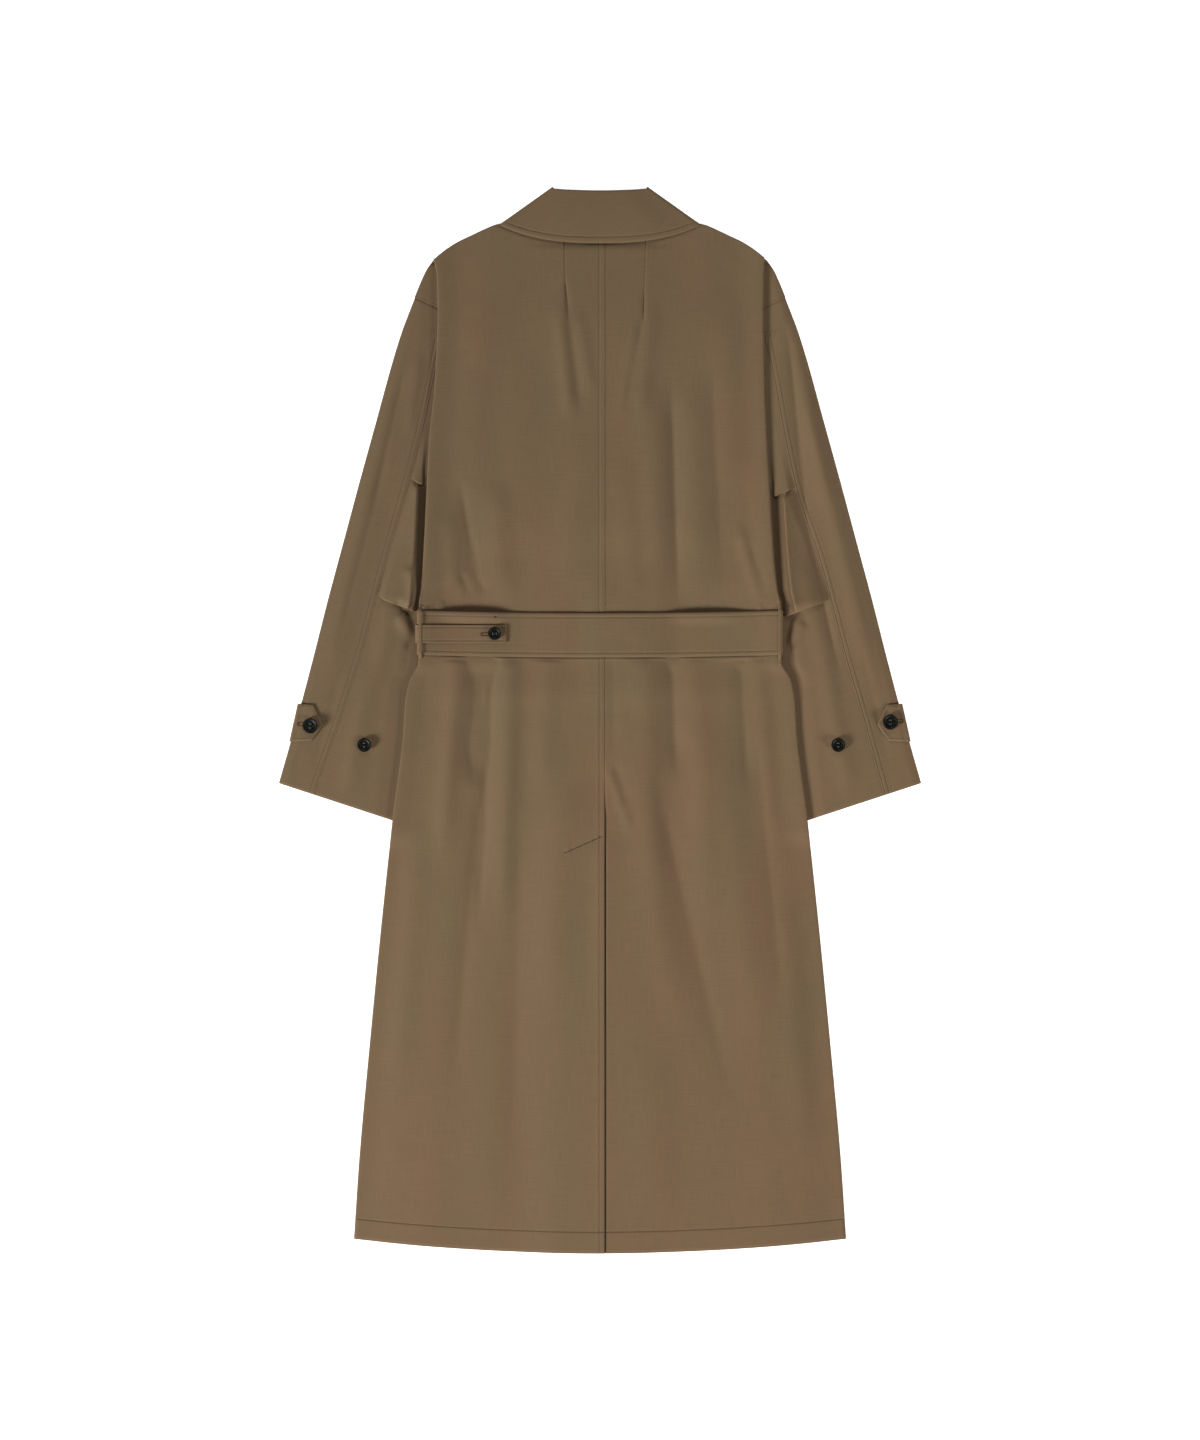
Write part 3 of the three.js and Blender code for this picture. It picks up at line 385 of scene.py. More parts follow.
def cotton_gabardine():
    """Tightly woven cotton: a matt khaki that drifts at random between olive and rust, with a painted
    sheen, as the two sets of threads take the light, that makes it redder towards the lower right, and
    painted shade a little darker to the upper left, faint slubs along both sets and a weave that shows only
    close to."""
    made, tree, shader = new_material("cotton gabardine", {
        "Roughness": 0.72, "Specular IOR Level": 0.2, "Sheen Weight": 0.05, "Sheen Roughness": 0.4,
    })
    place = add_node(tree, "ShaderNodeTexCoord").outputs["Object"]
    grain = add_node(tree, "ShaderNodeUVMap", uv_map="grain").outputs["UV"]
    # Drift: patches about 70 mm wide and 240 mm long, and a painted sheen that makes the cloth redder
    # towards the lower right
    drift_at = add_node(tree, "ShaderNodeMapping", {
        "Vector": place, "Scale": (9, 2.6, 1), "Rotation": (0, 0, 0.1),
    })
    drift = add_node(tree, "ShaderNodeTexNoise", {
        "Vector": drift_at.outputs[0], "Scale": 1.6, "Detail": 3, "Roughness": 0.55,
    })
    painted_light_slope = add_node(tree, "ShaderNodeVectorMath", {
        0: place, 1: (0.55, -0.5, 0),
    }, operation="DOT_PRODUCT")
    # Painted sheen: a fixed slope that pushes the hue towards rust at the lower right
    slope = add_node(tree, "ShaderNodeMapRange", {
        "Value": painted_light_slope.outputs["Value"], "From Min": -0.4, "From Max": 0.4,
        "To Min": -0.08, "To Max": 0.08,
    })
    both = add_node(tree, "ShaderNodeMath", {
        0: drift.outputs["Fac"], 1: slope.outputs[0],
    }, operation="ADD")
    hue = add_node(tree, "ShaderNodeMapRange", {
        "Value": both.outputs[0], "From Min": 0.25, "From Max": 0.70,
    })
    shot = add_node(tree, "ShaderNodeMix", {
        "Factor": hue.outputs[0], 6: linear("#66563d"), 7: linear("#6d553e"),
    }, data_type="RGBA")
    # Slubs: threads thicker for about 30 mm, a good millimetre wide, along the warp and the weft
    slubs = []
    for scale in ((900, 34, 1), (30, 800, 1)):
        at = add_node(tree, "ShaderNodeMapping", {"Vector": grain, "Scale": scale})
        slubs.append(add_node(tree, "ShaderNodeTexNoise", {
            "Vector": at.outputs[0], "Scale": 1.0, "Detail": 2, "Roughness": 0.6,
        }).outputs["Fac"])
    slub = add_node(tree, "ShaderNodeMath", {0: slubs[0], 1: slubs[1]}, operation="ADD")
    tone = add_node(tree, "ShaderNodeMapRange", {
        "Value": slub.outputs[0], "From Min": 0.7, "From Max": 1.3, "To Min": 0.93, "To Max": 1.07,
    })
    # Painted shade: the cloth's colour is darkened towards the upper left, in place of light falling off
    # there
    shade = add_node(tree, "ShaderNodeMapRange", {
        "Value": painted_light_slope.outputs["Value"], "From Min": -0.3, "From Max": 0.02,
        "To Min": 0.85, "To Max": 0.99,
    })
    value = add_node(tree, "ShaderNodeMath", {
        0: tone.outputs[0], 1: shade.outputs[0],
    }, operation="MULTIPLY")
    toned = add_node(tree, "ShaderNodeVectorMath", {
        0: shot.outputs[2], "Scale": value.outputs[0],
    }, operation="SCALE")
    tree.links.new(toned.outputs[0], shader.inputs["Base Color"])
    # Weave: ribs 0.9 mm apart both ways, drawn coarser than the real 0.4 mm so that they can show.
    # A wave texture's bands lie 0.314 over its scale apart.
    ribs = []
    for direction in ("X", "Y"):
        ribs.append(add_node(tree, "ShaderNodeTexWave", {
            "Vector": grain, "Scale": 0.314 / 0.0009, "Distortion": 0.6, "Detail": 1, "Detail Scale": 0.3,
        }, bands_direction=direction).outputs["Fac"])
    weave = add_node(tree, "ShaderNodeMath", {0: ribs[0], 1: ribs[1]}, operation="MULTIPLY")
    relief = add_node(tree, "ShaderNodeMath", {0: weave.outputs[0], 1: slub.outputs[0]}, operation="ADD")
    bump = add_node(tree, "ShaderNodeBump", {
        "Height": relief.outputs[0], "Strength": 0.35, "Distance": 0.00012,
    })
    tree.links.new(bump.outputs[0], shader.inputs["Normal"])
    return made


cotton = cotton_gabardine()

HEM_ROW = -574
ARMHOLE_ROW = 2.2  # stitches above the armhole seam
# Stitches beside the centre seam: on the right panel above the belt, on the left one below it
CENTRE_ROWS = {RIGHT: 6.2, LEFT: -1.0}
TURNINGS, DOUBLED_HEM = 0.3, 0.4  # what they add to the cloth's height
STITCH_DENT = dict(deep=0.4, half=0.8)
VENT_DENT = dict(deep=0.9, half=1.3)
# Stitched neck pleats, from x, y to x, y
PLEATS = {LEFT: (-41.9, 550, -39.8, 466), RIGHT: (54, 550, 50.6, 460)}
VENT_ROW = (3, -134, -42.5, -154.3)  # the slanting row that holds the underlap's top
# Sections of the back from the top down, closer below the collar, below the belt and at the hem
BACK_ROWS = np.unique(np.concatenate([
    np.linspace(TOP_ROW, LOW_ROW, 300),
    np.linspace(TOP_ROW, 490, 30),
    np.linspace(77, 65, 17),
    HEM_ROW + np.linspace(-2, 2, 9),
]))[::-1]
# Where the belt stands off the back: middle, half-width, share of the full height
BOWS = dict(left=(-146, 34, 1.35), right=(122, 36, 1.0))
BELT_SINK, BOW_SINK = 0.4, 1.3  # the back sinks above the belt, and this much more at the bows
PLEAT_RISE, PLEAT_GROOVE = 0.35, 0.45


def at_bows(x):
    """Share of the full bow: a flat-topped bell about each place."""
    return sum(share * np.exp(-((x - middle) / half) ** 4) for middle, half, share in BOWS.values())


def back_middle(x, y, side):
    """Middle height of a back panel with what is sewn in it: the seam's turnings make the cloth
    thicker as far as their row of stitches, the hem is doubled below its row, and the left panel
    laps over the vent and gapes a little. The right one steps up beside the lap's edge and bulges
    there. The cloth sinks above the belt, most where the belt stands off, and at each pleat."""
    z = back_height(x, y, side)
    z = z - (BELT_SINK + BOW_SINK * at_bows(x)) * ease((y - 112) / 8) * ease((164 - y) / 38)
    if side == LEFT:
        z = z + PITCH * ease((x + 104) / 56) * ease((VENT["top"] + 60 - y) / 54)
        z = z + VENT["gape"] * ease((x + 16) / 18) * ease((-136 - y) / 30) * ease((y + 370) / 90)
    else:
        beyond = VENT["step"] + VENT["bulge"] * ease((-130 - y) / 30) * ease((y + 370) / 90)
        z = z + beyond * ease((-44 - y) / 60) * ease((x - 5.7) / 1.3) * np.exp(-np.maximum(x - 7, 0) / 26)
    above = y > 100
    sewn = side == np.where(above, RIGHT, LEFT)
    row = np.where(above, CENTRE_ROWS[RIGHT], CENTRE_ROWS[LEFT])
    doubled = np.where(above, ease((9 - x) / 4), ease((x + 6.5) / 5)) * sewn
    clear = ease((565 - y) / 20)
    z = z + (TURNINGS * doubled + 0.7 * stitch_dent(x - row) * sewn) * clear
    z = z + stitch_dent(x - CENTRE_SEAM) * above * clear
    hem = section_y(x, HEM_ROW, BACK_NECK)
    z = z + DOUBLED_HEM * ease((hem + 0.5 - y) / 1.5) + stitch_dent(y - hem)
    run, off, length = from_line(x, y, *VENT_ROW)
    held = (run > 0) & (run < length) & (side == LEFT)
    z = z - VENT_DENT["deep"] * np.exp(-(off / VENT_DENT["half"]) ** 2) * held
    x0, y0, x1, y1 = PLEATS[side]
    off = abs(x) - abs(mix(x0, x1, (y - y0) / (y1 - y0)))
    held = ease((y - y1) / 12)
    rise = PLEAT_RISE * np.exp(-np.maximum(off, 0) / 9) * ease((off + 0.8) / 1.2)
    return z + held * (rise - PLEAT_GROOVE * np.exp(-((off + 0.8) / 0.7) ** 2))


def stitch_dent(off):
    """How far a row of stitches pulls the cloth in, by the distance from it."""
    return -STITCH_DENT["deep"] * np.exp(-(off / STITCH_DENT["half"]) ** 2)


def back_grid(side):
    """Sections of a back panel: centre edge to where the side starts to roll, half a turn round a
    small radius, and the strip that is turned under. The right one starts at the vent's underlap."""
    sign = SIGN[side]
    row = BACK_ROWS[:, None]
    centre = np.where(row < 100, VENT["edge"], CENTRE_SEAM)
    start = centre + sign * SEAM / 2
    roll = along(SIDE, "roll", row)
    turn = sign * (side_edge(row, side) - roll - WALL / 2)
    pleat = abs(PLEATS[side][0]) - 1
    seam = [0, 0.6, 1.4, 2.6, 4, 5, 5.4, 5.75, 6.2, 6.75, 7.3, 8.2, 10.5]
    even = np.arange(13, 73, 3)
    even = even[abs(even - pleat) > 5.5]
    near = np.unique(np.concatenate([seam, even, pleat + np.arange(-5, 5.1, 0.8)]))[None]
    far = np.linspace(0, 1, 62)[None, 1:]
    x = np.concatenate([start + sign * near, mix(start + sign * near[0, -1], turn, far)], axis=1)
    if side == RIGHT:
        lap = mix(start, -VENT["lap"], np.clip((VENT["top"] + 2 - row) / 26, 0, 1))
        x = np.concatenate([mix(lap, start + 0.4, np.linspace(0, 1, 9)[None]), x[:, 1:]], axis=1)
    y = section_y(x, row, BACK_NECK)
    z = back_middle(x, y, side)
    angle = np.linspace(0, np.pi, 10)[None, 1:]
    outer = section_y(turn, row, BACK_NECK)
    low = return_height(row)
    bend_x = turn + sign * roll * np.sin(angle)
    bend_z = low + roll + roll * np.cos(angle)
    under_x = mix(turn, sign * (side_edge(row, side) - RETURN), np.linspace(0, 1, 5)[None, 1:])
    xs = np.concatenate([x, bend_x, under_x], axis=1)
    zs = np.concatenate([z, bend_z, np.broadcast_to(low, under_x.shape)], axis=1)
    ys = np.concatenate([y, outer + 0 * bend_x, outer + 0 * under_x], axis=1)
    return np.stack([xs, ys, zs], axis=-1), x.shape[1]


SLEEVE_RISE, BESIDE_BODY = 1.3, 0.8  # a sleeve's crown, and the hollow between it and the body


def sleeve_crown(x, y, side):
    """How far a sleeve's upper layer stands above flat: nothing where the body lies on it, a hollow
    beside the body, then a low crown, which ends at the outer fold."""
    beside = x - side_edge(y, side)
    hollow = BESIDE_BODY * ease((beside + 4) / 4) * np.exp(-(np.maximum(beside - 3, 0) / 12) ** 2)
    inside = along(SLEEVE_OUT, "x", y) - x
    return ease((beside - 4) / 20) * SLEEVE_RISE * ease(inside / 10) - hollow


CAP_TOP, CAP_INNER = 523, 174  # the yoke's end: its top, and its inner edge under the back
CAP_ROWS = np.unique(np.concatenate([
    np.linspace(CAP_TOP, SLEEVE_TOP + SEAM, 14),
    SLEEVE_TOP + np.array([1.6, ARMHOLE_ROW, 2.8, 4]),
]))[::-1]


def shoulder_cap_grid(side):
    """The yoke end that shows beyond the back's side fold, from the shoulder to the armhole seam."""
    row = CAP_ROWS[:, None]
    slope = ARMHOLE_SLOPE * (CAP_TOP - row) / (CAP_TOP - SLEEVE_TOP)
    out = along(SLEEVE_OUT, "x", row)
    x = mix(CAP_INNER, out, np.linspace(0, 1, 18)[None])
    y = row - slope * (out - x)
    level = FLOOR + PITCH + sleeve_crown(x, y, side)
    z = level + PITCH * ease((188 - x) / 9) + 0.5 * stitch_dent(row - SLEEVE_TOP - ARMHOLE_ROW)
    return np.stack([SIGN[side] * x, y, z], axis=-1)


backs, back_columns, caps = {}, {}, {}
for side in (LEFT, RIGHT):
    backs[side], back_columns[side] = back_grid(side)
    caps[side] = shoulder_cap_grid(side)
    piece = cloth_piece(f"back_panel_{side}", [backs[side], caps[side]], cotton)
    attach(piece, "root")
    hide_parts(f"back_{side}")

# Fronts: two plain panels under the back, the left one lapped over the right at the centre. They
# lie on the surface and carry everything else.
FRONT_NECK = dict(centre=515, shoulder=588, half=75)
FRONT_LAP = 32
FRONT_ARMHOLE = dict(x=211.4, y=466.2)  # where the armhole reaches the sleeve's seam and the side


def front_grid(side):
    """Sections of a front: its lap past the centre, out to the side seam or the armhole, and to the
    outline above the armhole seam."""
    sign = SIGN[side]
    top, low = SLEEVE_TOP + SEAM, FRONT_ARMHOLE["y"]
    row = np.unique(np.concatenate([np.linspace(TOP_ROW, LOW_ROW, 130), [top, low]]))[::-1, None]
    seam = side_edge(row, side) - RETURN - SEAM
    armhole = mix(seam, FRONT_ARMHOLE["x"], np.clip((row - low) / (top - low), 0, 1))
    outline = np.minimum(along(SLEEVE_OUT, "x", row), FRONT_ARMHOLE["x"])
    edge = np.where(row > SLEEVE_TOP, outline, armhole)
    inner = mix(-FRONT_LAP, 136, np.linspace(0, 1, 25)[None, :-1])
    outer = mix(136, edge, np.linspace(0, 1, 14)[None])
    x = sign * np.concatenate([inner + 0 * edge, outer], axis=1)
    y = section_y(x, row, FRONT_NECK, 2)
    z = front_low(x, y)
    if side == LEFT:
        z = z + PITCH * ease((x + FRONT_LAP + 14) / 12)
    return np.stack([x, y, z], axis=-1)


for side in (LEFT, RIGHT):
    piece = cloth_piece(f"front_panel_{side}", [front_grid(side)], cotton)
    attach(piece, "root")
    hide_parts(f"front_{side}")

# Sleeves: each is a flat tube of a top piece and a narrower under piece. The back seam between them
# is felled and sewn down with two rows, and the under piece has two tucks at the elbow. The tube's
# inner fold lies under the body's side.
CUFF_SLOPE = 0.328
CUFF = -73
SLEEVE_FOLD = PITCH / 2
UNDER_SLEEVE_FROM = 456
FRONT_SLEEVE_SEAM = 14
SEAM_ROWS = (1.5, 6.1)  # the two rows of stitches, from the seam
# Columns of the top sleeve beside its seam, one under each row of stitches
FROM_SEAM = np.array([0, 0.5, 1.0, 1.35, 2.0, 3.6, 5.3, 5.95, 6.6, 8, 10])
FELLED = 0.45  # the seam's turnings add this to the height
TUCK_HOLLOW, TUCK_LEAN = 0.8, 2.4  # below a tuck's edge, and how far the edge hangs down
BODY_HOLLOW = 1.2  # beside the body at the elbow
LEAST = 1.2  # the upper layer stays this far above the surface's layer
BACK_SEAM = dict(
    y=[435, 395, 321, 256, 183, 122, 74, 0, -79, -110],
    left=[183, 191, 207, 224, 245, 261, 274, 298, 325.5, 335],
    right=[190.5, 199, 212.5, 227.5, 252, 268.5, 281, 302.5, 324.3, 333],
)
# Tucks: section, height, length of the swell above
TUCKS = {LEFT: [(299, 3.6, 26), (162, 5.0, 34)], RIGHT: [(288, 3.6, 26), (156.5, 5.0, 34)]}
# The roll between the tucks: how steep, its distance from the body's side, its height, and how far
# it leans over towards the body
ELBOW_ROLL = {LEFT: (3.5, 12.5, 6.0, 3.0), RIGHT: (3, 18, 7.0, 3.8)}
# Bunched creases at the lower tuck, x taken outwards
ELBOW_FOLDS = {
    LEFT: [(236, 139, 206, 106, 5, -2.4), (232, 122, 209, 88, 8, 3.2), (222, 176, 212, 130, 6, 2.4),
           (214, 108, 222, 30, 8, -1.6)],
    RIGHT: [(232, 128, 210, 108, 5, -1.6), (234, 112, 214, 80, 7, 2.4), (216, 96, 232, 20, 8, -1.2)],
}
# Folds along the sleeves, x taken outwards
SLEEVE_FOLDS = {
    LEFT: [
        (236, 400, 318, 20, 15, 2.6),
        (262, 60, 292, -90, 12, 2.0),
        (224, 404, 262, 240, 6, -1.8),
        (246, 300, 300, 90, 7, -1.6),
        (226, 190, 262, 30, 10, 1.6),
        (206, 420, 222, 330, 7, 1.2),
        (296, 60, 330, -60, 7, -0.8),
    ],
    RIGHT: [
        (234, 400, 318, 20, 13, 2.8),
        (216, 448, 241, 200, 6, -2.2),
        (238, 220, 274, 60, 6, -2.0),
        (232, 430, 262, 220, 11, 1.6),
        (258, 60, 288, -90, 12, 2.2),
        (230, 190, 266, 30, 10, 1.6),
        (300, 80, 332, -50, 7, -0.8),
    ],
}


def spaced(start, end, step, lines=()):
    """Numbers from start to end about a step apart, closer together about each line."""
    near = np.add.outer(lines, [-2, -1.2, -0.6, 0, 0.6, 1.2, 2]).ravel()
    evenly = np.linspace(start, end, int(abs(end - start) / step) + 2)
    both = np.unique(np.round(np.concatenate([evenly, near]), 2))
    both = both[(both >= min(start, end) - 0.01) & (both <= max(start, end) + 0.01)]
    return both if end > start else both[::-1]


def sleeve_section(row, side):
    """For each section: its outer fold, slope, inner fold and back seam, as distances from x 0."""
    out = along(SLEEVE_OUT, "x", row) - WALL / 2
    slope = mix(ARMHOLE_SLOPE, CUFF_SLOPE, (SLEEVE_TOP - row) / (SLEEVE_TOP - CUFF))
    inner, seam = out - 100, out - 50
    for _ in range(10):
        inner = sleeve_inner(row - slope * (out - inner), side)
        seam = along(BACK_SEAM, side, row - slope * (out - seam))
    return out, slope, inner, seam


def sleeve_height(x, y, side):
    """Middle height of the sleeve's upper layer: flat where the body lies on it, else a low crown
    with the folds, which ends at the outer fold."""
    clear = ease((x - side_edge(y, side) - 4) / 20)
    inside = along(SLEEVE_OUT, "x", y) - x
    drape = np.maximum(-1.8, folds(SLEEVE_FOLDS[side], x, y))
    return FLOOR + PITCH + sleeve_crown(x, y, side) + clear * drape * ease(inside / 20)


def fold_under(out, low, radius, sign, steps=8):
    """Offsets of a half turn in a section, from its upper layer down to the lower one."""
    angle = np.linspace(0, np.pi, steps + 1)[None, 1:]
    return out + sign * radius * np.sin(angle), low + radius + radius * np.cos(angle)


def top_sleeve_grid(side):
    """From the back seam over the outer fold and under to the front seam; above the under sleeve it
    starts at the inner fold."""
    row = spaced(SLEEVE_TOP, CUFF, 3.2)[:, None]
    out, slope, inner, seam = sleeve_section(row, side)
    whole = np.clip((row - UNDER_SLEEVE_FROM) / 3.5, 0, 1)
    start = mix(seam + SEAM / 2, inner + 1, whole)
    end = mix(inner + FRONT_SLEEVE_SEAM + SEAM / 2, inner + 1, whole)
    turn = out - SLEEVE_FOLD
    far = mix(start + FROM_SEAM[-1], turn, np.linspace(0, 1, 22)[None, 1:])
    upper = np.concatenate([start + FROM_SEAM, far], axis=1)
    y = row - slope * (out - upper)
    off = upper - start
    dents = sum(stitch_dent(off + SEAM / 2 - line) for line in SEAM_ROWS)
    felled = FELLED * ease((8.5 - off) / 1.5) + 1.3 * dents
    z = sleeve_height(upper, y, side) + felled * (1 - whole)
    bend_x, bend_z = fold_under(turn, FLOOR, SLEEVE_FOLD, 1)
    under = mix(turn, end, np.linspace(0, 1, 7)[None, 1:])
    x = np.concatenate([upper, bend_x, under], axis=1)
    z = np.concatenate([z, bend_z + 0 * turn, FLOOR + 0 * under], axis=1)
    return np.stack([SIGN[side] * x, row - slope * (out - x), z], axis=-1)


def under_sleeve_grid(side):
    """From the back seam over the inner fold and under to the front seam. The cloth steps down at
    each tuck, swells above it and hangs over it a little. A roll lies between the tucks and leans
    towards the body, and the cloth sinks beside the body there."""
    close = [tuck[0] - d for tuck in TUCKS[side] for d in (0, 3, 6)]
    row = spaced(UNDER_SLEEVE_FROM + 2, CUFF, 3.2, close)[:, None]
    out, slope, inner, seam = sleeve_section(row, side)
    turn = inner + SLEEVE_FOLD
    upper = mix(seam - SEAM / 2, turn, np.linspace(0, 1, 72)[None])
    y = row - slope * (out - upper)
    z = sleeve_height(upper, y, side)
    beside = upper - side_edge(y, side)
    across = ease((seam - upper) / 9) * ease((beside - 1) / 6)
    drop = 0 * z
    for at, high, run in TUCKS[side]:
        above = row - at
        swell = np.exp(-np.maximum(above, 0) / run)
        below = -TUCK_HOLLOW * np.exp(np.minimum(above, 0) / 6)
        z = z + across * np.where(above > -0.3, high * swell, below)
        drop = drop + across * TUCK_LEAN * (above > -0.3) * np.exp(-np.maximum(above, 0) / 9)
    first, last = TUCKS[side][0][0], TUCKS[side][1][0]
    between = ease((first - row) / 10) * ease((row - last + 2) / 8)
    steep, place, high, lean = ELBOW_ROLL[side]
    ridge = ease((beside - place + steep / 2) / steep) * np.exp(-np.maximum(beside - place - 2, 0) / 12)
    ridge = ridge * between * ease((seam - upper) / 9)
    z = z + high * ridge
    around = ease((first + 30 - row) / 30) * ease((row - last + 90) / 60)
    z = z + ease((seam - upper) / 9) * folds(ELBOW_FOLDS[side], upper, y, 0.2)
    z = np.maximum(z - BODY_HOLLOW * around * np.exp(-(beside / 9) ** 2), FLOOR + LEAST)
    bend_x, bend_z = fold_under(turn, FLOOR, SLEEVE_FOLD, -1)
    below = mix(turn, inner + FRONT_SLEEVE_SEAM - SEAM / 2, np.linspace(0, 1, 5)[None, 1:])
    x = np.concatenate([upper - lean * ridge, bend_x, below], axis=1)
    z = np.concatenate([z, bend_z + 0 * turn, FLOOR + 0 * below], axis=1)
    y = row - slope * (out - x)
    y[:, : drop.shape[1]] -= drop
    return np.stack([SIGN[side] * x, y, z], axis=-1)


top_sleeves = {side: top_sleeve_grid(side) for side in (LEFT, RIGHT)}
for side in (LEFT, RIGHT):
    piece = cloth_piece(f"top_sleeve_{side}", [top_sleeves[side]], cotton)
    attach(piece, "root")
    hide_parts(f"sleeve_top_{side}")
    piece = cloth_piece(f"under_sleeve_{side}", [under_sleeve_grid(side)], cotton)
    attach(piece, "root")
    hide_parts(f"sleeve_under_{side}")

# Collar: the fall is folded down over the back's neck and round two slanted folds, and its leaves
# lie under the fronts. One row of stitches follows its edge. The stand rises inside the top fold.
COLLAR_TOP, COLLAR_CORNER = (55, 612), (114.6, 569.6)
COLLAR_DIP = 4.8
COLLAR_CROWN = 2.4
COLLAR_ROW = 7.0
LEAF_TOP, LEAF_POINT = (16, 540), (76, 487)
COLLAR_LEVEL = FLOOR + 3 * PITCH
COLLAR_LOW = FLOOR + 0.5
COLLAR_BEND = (COLLAR_LEVEL - COLLAR_LOW) / 2
COLLAR_ROLL = 1.8
LEAF_SECTIONS, TURN_SECTIONS = 6, 11


def collar_fold():
    """The right slanted fold's two ends, drawn in by the bend, and the way inwards from it."""
    dx, dy = COLLAR_CORNER[0] - COLLAR_TOP[0], COLLAR_CORNER[1] - COLLAR_TOP[1]
    inward = np.array([dy, -dx]) / math.hypot(dx, dy)
    drawn = inward * (COLLAR_BEND + WALL / 2)
    return np.array(COLLAR_TOP) + drawn, np.array(COLLAR_CORNER) + drawn, inward


def collar_sections():
    """Top and low ends of the fall's sections, from the left leaf round its fold, over the back and
    round the right fold to the right leaf, with each section's crown."""
    top, low, inward = collar_fold()
    t = np.linspace(0, 1, LEAF_SECTIONS + 1)[:-1, None]
    leaf_top = np.hstack([mix(np.array(LEAF_TOP), top, t), 0 * t + COLLAR_LOW])
    leaf_low = np.hstack([mix(np.array(LEAF_POINT), low, t), 0 * t + COLLAR_LOW])
    angle = np.linspace(0, np.pi, TURN_SECTIONS)[:, None]
    out = -COLLAR_BEND * np.sin(angle) * inward
    level = COLLAR_LOW + COLLAR_BEND * (1 - np.cos(angle))
    side_top = np.vstack([leaf_top, np.hstack([top + out, level])])
    side_low = np.vstack([leaf_low, np.hstack([low + out, level])])
    t = np.linspace(-1, 1, 59)[1:-1, None]
    level = 0 * t + COLLAR_LEVEL
    mid_top = np.hstack([t * top[0], mix(COLLAR_TOP[1] - COLLAR_DIP, top[1], t**2), level])
    mid_low = np.hstack([t * low[0], mix(COLLAR_CENTRE, low[1], abs(t) ** 2.6), level])
    mirror = np.array([-1, 1, 1])
    crown = COLLAR_CROWN * ease((1 - abs(t)) / 0.5)
    none = np.zeros((len(side_top), 1))
    tops = np.vstack([side_top * mirror, mid_top, side_top[::-1]])
    lows = np.vstack([side_low * mirror, mid_low, side_low[::-1]])
    return tops, lows, np.vstack([none, crown, none])[:, 0]


def collar_grid(inside_edge):
    """Rows of the fall by the distance inside its lower edge; past the top the cloth rolls over."""
    tops, lows, crown = collar_sections()
    length = np.linalg.norm(tops - lows, axis=1)
    up = (tops - lows) / length[:, None]
    radius = 0.25 + (COLLAR_ROLL - 0.25) * ease(crown / COLLAR_CROWN * 3)
    far = mix(1 - 20 / length, radius / length, (inside_edge[:, None] - 20) / 40)
    v = np.where(inside_edge[:, None] < 20, 1 - inside_edge[:, None] / length, far)
    points = mix(tops[None], lows[None], v[..., None])
    points[..., 2] += crown * np.sin(np.pi * mix(0.2, 0.82, v))
    off = inside_edge[:, None] - COLLAR_ROW
    points[..., 2] += (crown > 0.01) * (0.35 * ease(-off / 1.5) + stitch_dent(off))
    angle = np.linspace(0, np.pi, 9)[1:, None, None]
    radius = radius[None, :, None]
    roll = points[-1][None] + radius * np.sin(angle) * up[None]
    roll[..., 2] -= (radius * (1 - np.cos(angle)))[..., 0]
    return np.concatenate([points, roll])[::-1]


collar_rows = spaced(0, 60, 2.6, [COLLAR_ROW])
collar_fall = collar_grid(collar_rows)
piece = cloth_piece("collar_fall_cloth", [collar_fall], cotton)
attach(piece, "root")
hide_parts("collar_fall")

STAND_HALF = 58
x = np.linspace(-STAND_HALF, STAND_HALF, 41)[None]
low = panel_top(x, BACK_NECK) + SEAM
top = COLLAR_TOP[1] - COLLAR_DIP - 3.5 - 3 * (x / STAND_HALF) ** 4
y = mix(low, top, np.linspace(1, 0, 10)[:, None])
stand = np.stack([x + 0 * y, y, FLOOR + 2 * PITCH + 0 * y], axis=-1)
piece = cloth_piece("collar_stand_cloth", [stand], cotton)
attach(piece, "root")
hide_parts("collar_stand")

# Belt: one doubled strip round the waist with a row of stitches inside each edge. Its ends cross
# under the fronts. A narrow strap is buttoned on its left end, and a thread loop holds each side.
BELT_ENDS = {LEFT: 52, RIGHT: 8}
BACK_SECTIONS, TURN_STEPS = 131, 10
BELT_BOW = 2.6  # how far the belt's upper edge stands off at the bows
STRAP_TURN = 6  # sections of the strap round the body's side
STRAP = dict(end=-108, middle=98.2, width=20, row=7.6)
LOOP = dict(x=206.2, width=3.0, wall=0.5, top=131, bottom=dict(left=70, right=62))


def belt_turn(side, above, steps):
    """Section of the belt round one side, a distance above the body's own fold."""
    roll = along(SIDE, "roll", BELT["middle"])
    turn = side_edge(BELT["middle"], side) - roll - WALL / 2
    x, z = fold_under(turn, return_height(BELT["middle"]) - above, roll + above, 1, steps)
    return np.stack([SIGN[side] * x[0], z[0]], axis=-1)


def belt_back_run(above):
    """Section of the belt over the back, from the left turn to the right one."""
    roll = along(SIDE, "roll", BELT["middle"])
    ends = [SIGN[side] * (side_edge(BELT["middle"], side) - roll - WALL / 2) for side in (LEFT, RIGHT)]
    x = np.linspace(*ends, BACK_SECTIONS)
    left = back_height(x, BELT["middle"], LEFT)
    right = back_height(x, BELT["middle"], RIGHT)
    return np.stack([x, np.where(x < 0, left, right) + above], axis=-1)


def belt_front_run(side):
    """Section of the belt under a front, from the side to its end past the centre."""
    edge = side_edge(BELT["middle"], side) - RETURN - SEAM
    x = np.linspace(SIGN[side] * edge, BELT_ENDS[side], 40)
    over = PITCH * ease((BELT_ENDS[LEFT] + 14 - x) / 10) if side == RIGHT else 0
    return np.stack([x, FLOOR + over_strip(x, BELT["middle"]) + over], axis=-1)


